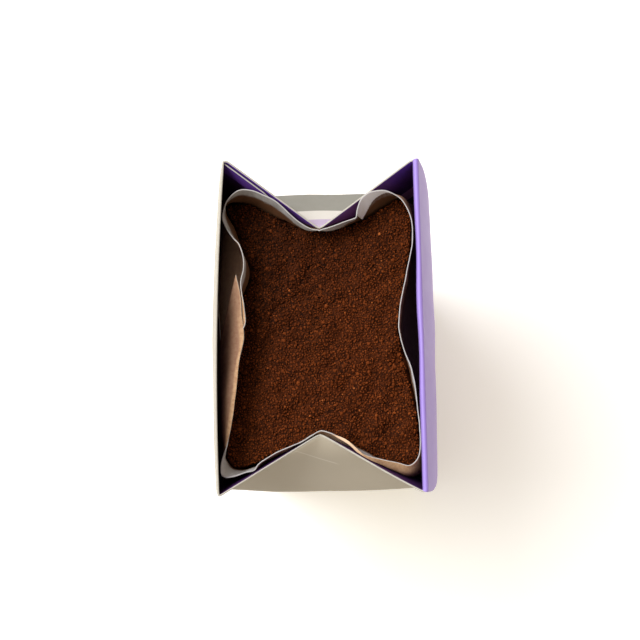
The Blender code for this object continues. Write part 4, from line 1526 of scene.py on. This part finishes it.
@dataclass
class CoffeeFill:
    """The grounds: a closed core with a packed top, and loose grains lying on it."""

    form: BagForm
    shift: Array
    bed: CoffeeBed = field(default_factory=CoffeeBed)
    inset: float = 1.1
    cells: int = 270
    kinds: tuple[GrainKind, ...] = (
        GrainKind("coffee_grains", 0.73, 0.62, 0.96, 0.17, 0, 41),
        GrainKind("coffee_chips", 1.8, 0.9, 1.6, 0.10, 1, 42, 0.28),
        GrainKind("coffee_crumbs", 0.8, 0.28, 0.52, 0.4, 0, 43, 0.6),
    )

    def build(self) -> None:
        """Makes and dresses the core and the grains."""
        core, loop = self._core()
        piece = core.make(self.shift)
        dress(piece, [GroundCoffee("packed_coffee").material()], "coffee")
        loose = GroundCoffee("loose_coffee").material()
        for kind in self.kinds:
            grains = self._scatter(kind, loop).make(self.shift, smooth=False)
            dress(grains, [loose])

    def _runs(self) -> tuple[Run, ...]:
        """The bag's runs as one closed loop, with the two left ones joined end to end."""
        runs = self.form.runs
        outer, inner = runs[-1], runs[0]
        joined = Run(Face.LEFT, -1.0, 1.0, 180, (*outer.rim[:7], *inner.rim[4:]),
                     (*outer.level[:-1], *inner.level[1:]))
        return (*runs[1:-1], joined)

    def _core(self) -> tuple[Pattern, Array]:
        """The core as one closed mesh: a packed top, sides inside the bag, and a foot.

        The top is a square grid of two numbers a and b from -1 to 1, drawn out so that its rim is
        the bag's outline: a point goes from the middle towards the outline by the larger of |a|
        and |b|, in the direction of its place round the square. Its height is the bed's, with the
        packed grains on it, and it dips by half a millimetre against the paper.

        Returns:
            The mesh, and the outline of its top.
        """
        runs = self._runs()
        body = np.array([2.6, 8.0, 65.0, 110.0])
        sides = self.form.lower(runs, self.inset, True, body, np.array([0.0, 0.35, 0.7]))
        level, _, _ = self.form.sections(runs, self.inset, True)
        counts = [runs[0].columns + runs[1].columns, runs[2].columns, runs[3].columns + runs[4].columns,
                  runs[5].columns]
        marks = np.concatenate([[0.0], np.cumsum(counts)])
        n = self.cells
        step = np.arange(4 * n) / n
        place = np.interp(step, np.arange(5), marks)

        def around(loop: Array, where: Array) -> Array:
            """Points of a closed loop at fractional column numbers."""
            ring = np.concatenate([loop, loop[:1]])
            numbers = np.arange(len(ring))
            return np.stack([np.interp(where, numbers, ring[:, k]) for k in range(3)], axis=-1)

        a, b = np.meshgrid(np.linspace(-1, 1, n + 1), np.linspace(-1, 1, n + 1), indexing="xy")
        reach = np.maximum(np.abs(a), np.abs(b))
        safe = np.maximum(reach, 1e-9)
        u, v = a / safe, b / safe
        turn = np.select(
            [v >= 1.0 - 1e-9, u >= 1.0 - 1e-9, v <= -1.0 + 1e-9],
            [(u + 1.0) / 2.0, 1.0 + (1.0 - v) / 2.0, 2.0 + (1.0 - u) / 2.0],
            3.0 + (v + 1.0) / 2.0,
        )
        edge = around(level, np.interp(turn, np.arange(5), marks))
        centre = np.array([0.4, -1.5])
        plan = centre + (edge[..., :2] - centre) * reach[..., None]
        x, y = plan[..., 0], plan[..., 1]
        dome, own = self.bed.grains(x, y)
        z = self.bed.height(x, y) - self.bed.sunk + self.bed.grain_height * (dome - 0.6)
        z = z - 0.5 * smooth_step((reach - 0.96) / 0.04)
        top = np.stack([x, y, z], axis=-1).reshape(-1, 3)
        number = np.arange((n + 1) ** 2).reshape(n + 1, n + 1)
        across = np.stack([number[:-1, :-1], number[:-1, 1:], number[1:, 1:], number[1:, :-1]], axis=-1)
        rim = np.concatenate([number[-1, :-1], number[::-1, -1][:-1], number[0, ::-1][:-1], number[:-1, 0]])
        rings = np.stack([around(row, place) for row in sides[::-1]])
        numbers = np.concatenate([rim[None], len(top) + np.arange(rings[..., 0].size).reshape(rings.shape[:2])])
        quads, _ = grid_quads(len(numbers), 4 * n, closed=True)
        skirt = numbers.ravel()[quads][:, ::-1]
        foot = rings[-1].mean(axis=0)
        last = numbers[-1]
        hub = len(top) + rings[..., 0].size
        after = np.roll(last, -1)
        under = np.stack([last[::2], after[::2], np.roll(last, -2)[::2], np.full(len(last) // 2, hub)], axis=-1)
        points = np.concatenate([top, rings.reshape(-1, 3), foot[None]])
        faces = np.concatenate([across.reshape(-1, 4), skirt, under])
        # Painted shade: the packed core is darker than the loose grains so the gaps between them look shaded, and
        # darker still to the left and back.
        own = 0.06 + 0.26 * own - 0.12 * self.bed.shade(x, y)
        roast_and_painted_shade = np.concatenate([own.ravel(), np.full(len(points) - len(top), 0.2)])
        return Pattern("coffee_core", points, faces, marks={"roast_and_painted_shade": roast_and_painted_shade}), level

    def _scatter(self, kind: GrainKind, loop: Array) -> Pattern:
        """Loose grains of one kind over the whole bed, as one mesh.

        They stand on a jittered lattice inside the outline. Each is a copy of one of sixteen
        uneven stones with its own turn, size and flatness, half sunk into the bed.

        Args:
            kind: the size of grain.
            loop: the bed's outline.

        Returns:
            The mesh.
        """
        rng = np.random.default_rng(kind.seed)
        low, high = loop[:, :2].min(axis=0), loop[:, :2].max(axis=0)
        x, y = np.meshgrid(np.arange(low[0], high[0], kind.spacing), np.arange(low[1], high[1], kind.spacing))
        x = x.ravel() + rng.uniform(-0.45, 0.45, x.size) * kind.spacing
        y = y.ravel() + rng.uniform(-0.45, 0.45, y.size) * kind.spacing
        kept = inside_loop(x, y, loop) & (rng.random(x.size) < kind.share)
        x, y = x[kept], y[kept]
        count = len(x)
        stones, faces = self._stones(kind)
        size = kind.smallest + (kind.largest - kind.smallest) * rng.random(count) ** 1.6
        flat = rng.uniform(0.62, 1.0, (count, 3))
        turned = np.einsum("nij,nkj->nki", self._turns(rng, count), stones[rng.integers(0, len(stones), count)] * flat[:, None])
        points = turned * (size / 2.0)[:, None, None]
        lift = kind.lift * rng.uniform(-1.0, 1.0, count)
        points += np.stack([x, y, self.bed.height(x, y) + lift], axis=-1)[:, None]
        numbers = faces[None] + (np.arange(count) * stones.shape[1])[:, None, None]
        roast_and_painted_shade = rng.normal(0.52, 0.11, count) + 0.30 * (rng.random(count) > 0.985)
        # Painted shade: grains darker to the left and back of the bag.
        roast_and_painted_shade = np.clip(roast_and_painted_shade - 0.24 * self.bed.shade(x, y), 0.0, 1.0)
        marks = {"roast_and_painted_shade": np.repeat(roast_and_painted_shade, stones.shape[1])}
        return Pattern(kind.name, points.reshape(-1, 3), numbers.reshape(-1, 3), marks=marks)

    def _turns(self, rng: np.random.Generator, count: int) -> Array:
        """Random turns as matrices, from random unit quaternions."""
        q = rng.normal(size=(count, 4))
        w, x, y, z = (q / np.linalg.norm(q, axis=1)[:, None]).T
        rows = [
            [1 - 2 * (y * y + z * z), 2 * (x * y - w * z), 2 * (x * z + w * y)],
            [2 * (x * y + w * z), 1 - 2 * (x * x + z * z), 2 * (y * z - w * x)],
            [2 * (x * z - w * y), 2 * (y * z + w * x), 1 - 2 * (x * x + y * y)],
        ]
        return np.array(rows).transpose(2, 0, 1)

    def _stones(self, kind: GrainKind) -> tuple[Array, Array]:
        """Sixteen uneven stones: a twelve-cornered solid, divided or not, with each corner's reach varied.

        Args:
            kind: the size of grain, which says how often its faces are divided.

        Returns:
            The stones' corners and their shared faces.
        """
        golden = (1.0 + math.sqrt(5.0)) / 2.0
        signs = np.array([(a, b) for a in (-1.0, 1.0) for b in (-1.0, 1.0)])
        flat = np.column_stack([np.zeros(4), signs[:, 0], signs[:, 1] * golden])
        corners = np.concatenate([np.roll(flat, k, axis=1) for k in range(3)])
        corners /= np.linalg.norm(corners, axis=1)[:, None]
        near = np.linalg.norm(corners[:, None] - corners[None], axis=-1) < 1.2
        first, second, third = np.nonzero(near[:, :, None] & near[None] & near[:, None])
        kept = (first < second) & (second < third)
        faces = np.column_stack([first, second, third])[kept]
        for _ in range(kind.divisions):
            pairs = np.sort(np.concatenate([faces[:, [0, 1]], faces[:, [1, 2]], faces[:, [2, 0]]]), axis=1)
            edges, place = np.unique(pairs, axis=0, return_inverse=True)
            halves = place.reshape(3, -1) + len(corners)
            middle = corners[edges].mean(axis=1)
            corners = np.concatenate([corners, middle / np.linalg.norm(middle, axis=1)[:, None]])
            a, b, c = faces.T
            ab, bc, ca = halves
            faces = np.concatenate([np.column_stack(t) for t in ((a, ab, ca), (b, bc, ab), (c, ca, bc), (ab, bc, ca))])
        normal = np.cross(corners[faces[:, 1]] - corners[faces[:, 0]], corners[faces[:, 2]] - corners[faces[:, 0]])
        inward = (normal * corners[faces].mean(axis=1)).sum(axis=1) < 0
        faces[inward] = faces[inward][:, ::-1]
        rng = np.random.default_rng(kind.seed + 100)
        reach = rng.uniform(0.72, 1.15, (16, len(corners)))
        return corners[None] * reach[..., None], faces


# ---------------------------------------------------------------- the studio


@dataclass
class Studio:
    """A pale floor, a soft key light from the back left, warm even fill, and the camera."""

    shift: Array
    eye: tuple[float, float, float] = (9.5, -44.8, 393.1)
    right: tuple[float, float, float] = (0.99881, -0.01753, -0.04537)
    up: tuple[float, float, float] = (0.02580, 0.98171, 0.18884)
    lens: float = 45.0
    key_place: tuple[float, float, float] = (-0.42, 0.20, 0.84)
    key_size: tuple[float, float] = (0.62, 0.46)
    key_power: float = 6.6
    key_tint: tuple[float, float, float] = (0.94, 0.96, 1.0)
    low_fill: tuple[float, float, float, float] = (0.72, 0.62, 0.50, 1.0)
    high_fill: tuple[float, float, float, float] = (0.20, 0.18, 0.165, 1.0)
    window: tuple[float, float, float, float] = (1.15, 1.18, 1.22, 1.0)
    window_way: tuple[float, float, float] = (-0.74, 0.36, 0.57)

    def build(self) -> None:
        """Sets up the floor, the lights and the camera."""
        self._floor()
        self._lights()
        self._camera()

    def _floor(self) -> None:
        """A flat round sheet, as a grid of rings and spokes, its middle closed."""
        angle = np.linspace(0.0, -math.tau, 96, endpoint=False)
        radius = np.array([1600.0, 800.0, 400.0, 200.0, 60.0])[:, None]
        ring = np.stack(np.broadcast_arrays(radius * np.cos(angle), radius * np.sin(angle), np.array(-0.05)), axis=-1)
        faces, _ = grid_quads(5, 96, closed=True)
        hub = ring[..., 0].size
        last = 4 * 96 + np.arange(0, 96, 2)
        cap = np.column_stack([last, np.full(48, hub), 4 * 96 + (np.arange(0, 96, 2) + 2) % 96, last + 1])
        points = np.concatenate([ring.reshape(-1, 3), [[0.0, 0.0, -0.05]]])
        floor = Pattern("studio_floor", points, np.concatenate([faces, cap])).make(np.zeros(3))
        floor.data.materials.append(FloorSheet().material())

    def _lights(self) -> None:
        """One soft area light for the key, and for the fill a world with a wide bright patch to the left.

        The rest of the world is warm and brighter near the horizon than overhead.
        """
        light = bpy.data.lights.new("key", "AREA")
        light.shape = "ELLIPSE"
        light.size, light.size_y = self.key_size
        light.energy = self.key_power
        light.color = self.key_tint
        lamp = bpy.data.objects.new("key", light)
        way = np.array(self.key_place) / np.linalg.norm(self.key_place)
        lamp.location = self.key_place
        lamp.rotation_euler = (math.acos(way[2]), 0.0, math.atan2(way[1], way[0]) + math.pi / 2.0)
        bpy.context.scene.collection.objects.link(lamp)
        world = bpy.data.worlds.new("studio")
        world.use_nodes = True
        nodes, links = world.node_tree.nodes, world.node_tree.links
        way = nodes.new("ShaderNodeTexCoord")
        parts = nodes.new("ShaderNodeSeparateXYZ")
        links.new(way.outputs["Generated"], parts.inputs[0])
        blend = nodes.new("ShaderNodeMix")
        blend.data_type = "RGBA"
        blend.inputs[6].default_value = self.low_fill
        blend.inputs[7].default_value = self.high_fill
        links.new(parts.outputs["Z"], blend.inputs[0])
        facing = nodes.new("ShaderNodeVectorMath")
        facing.operation = "DOT_PRODUCT"
        facing.inputs[1].default_value = self.window_way
        links.new(way.outputs["Generated"], facing.inputs[0])
        near = nodes.new("ShaderNodeMapRange")
        near.interpolation_type = "SMOOTHSTEP"
        near.inputs["From Min"].default_value = 0.35
        near.inputs["From Max"].default_value = 1.0
        links.new(facing.outputs["Value"], near.inputs["Value"])
        glow = nodes.new("ShaderNodeMix")
        glow.data_type = "RGBA"
        glow.inputs[7].default_value = self.window
        links.new(near.outputs["Result"], glow.inputs[0])
        links.new(blend.outputs[2], glow.inputs[6])
        links.new(glow.outputs[2], nodes["Background"].inputs["Color"])
        bpy.context.scene.world = world
        bpy.context.scene.view_settings.view_transform = "Standard"

    def _camera(self) -> None:
        """The camera above the pack, a little to the front, looking down and slightly back."""
        data = bpy.data.cameras.new("view")
        data.lens = self.lens
        data.sensor_width = 36.0
        data.clip_start = 0.01
        camera = bpy.data.objects.new("view", data)
        right = np.array(self.right)
        up = np.array(self.up)
        back = np.cross(right, up)
        turn = np.column_stack([right, up, back])
        place = (np.array(self.eye) + self.shift) * MM
        matrix = np.eye(4)
        matrix[:3, :3] = turn
        matrix[:3, 3] = place
        camera.matrix_world = Matrix([list(row) for row in matrix])
        bpy.context.scene.collection.objects.link(camera)
        bpy.context.scene.camera = camera


def main() -> None:
    """Builds the studio, the carton, the bag and the coffee in turn."""
    logging.basicConfig(level=logging.INFO, format="%(name)s: %(message)s")
    form = CartonForm()
    shift = form.shift()
    LOG.info("drafting frame moved by %s mm", np.round(shift, 3))
    Studio(shift).build()
    Carton(form, shift).build()
    bag = BagForm(form)
    InnerBag(bag, shift).build()
    CoffeeFill(bag, shift).build()


if __name__ == "__main__":
    main()
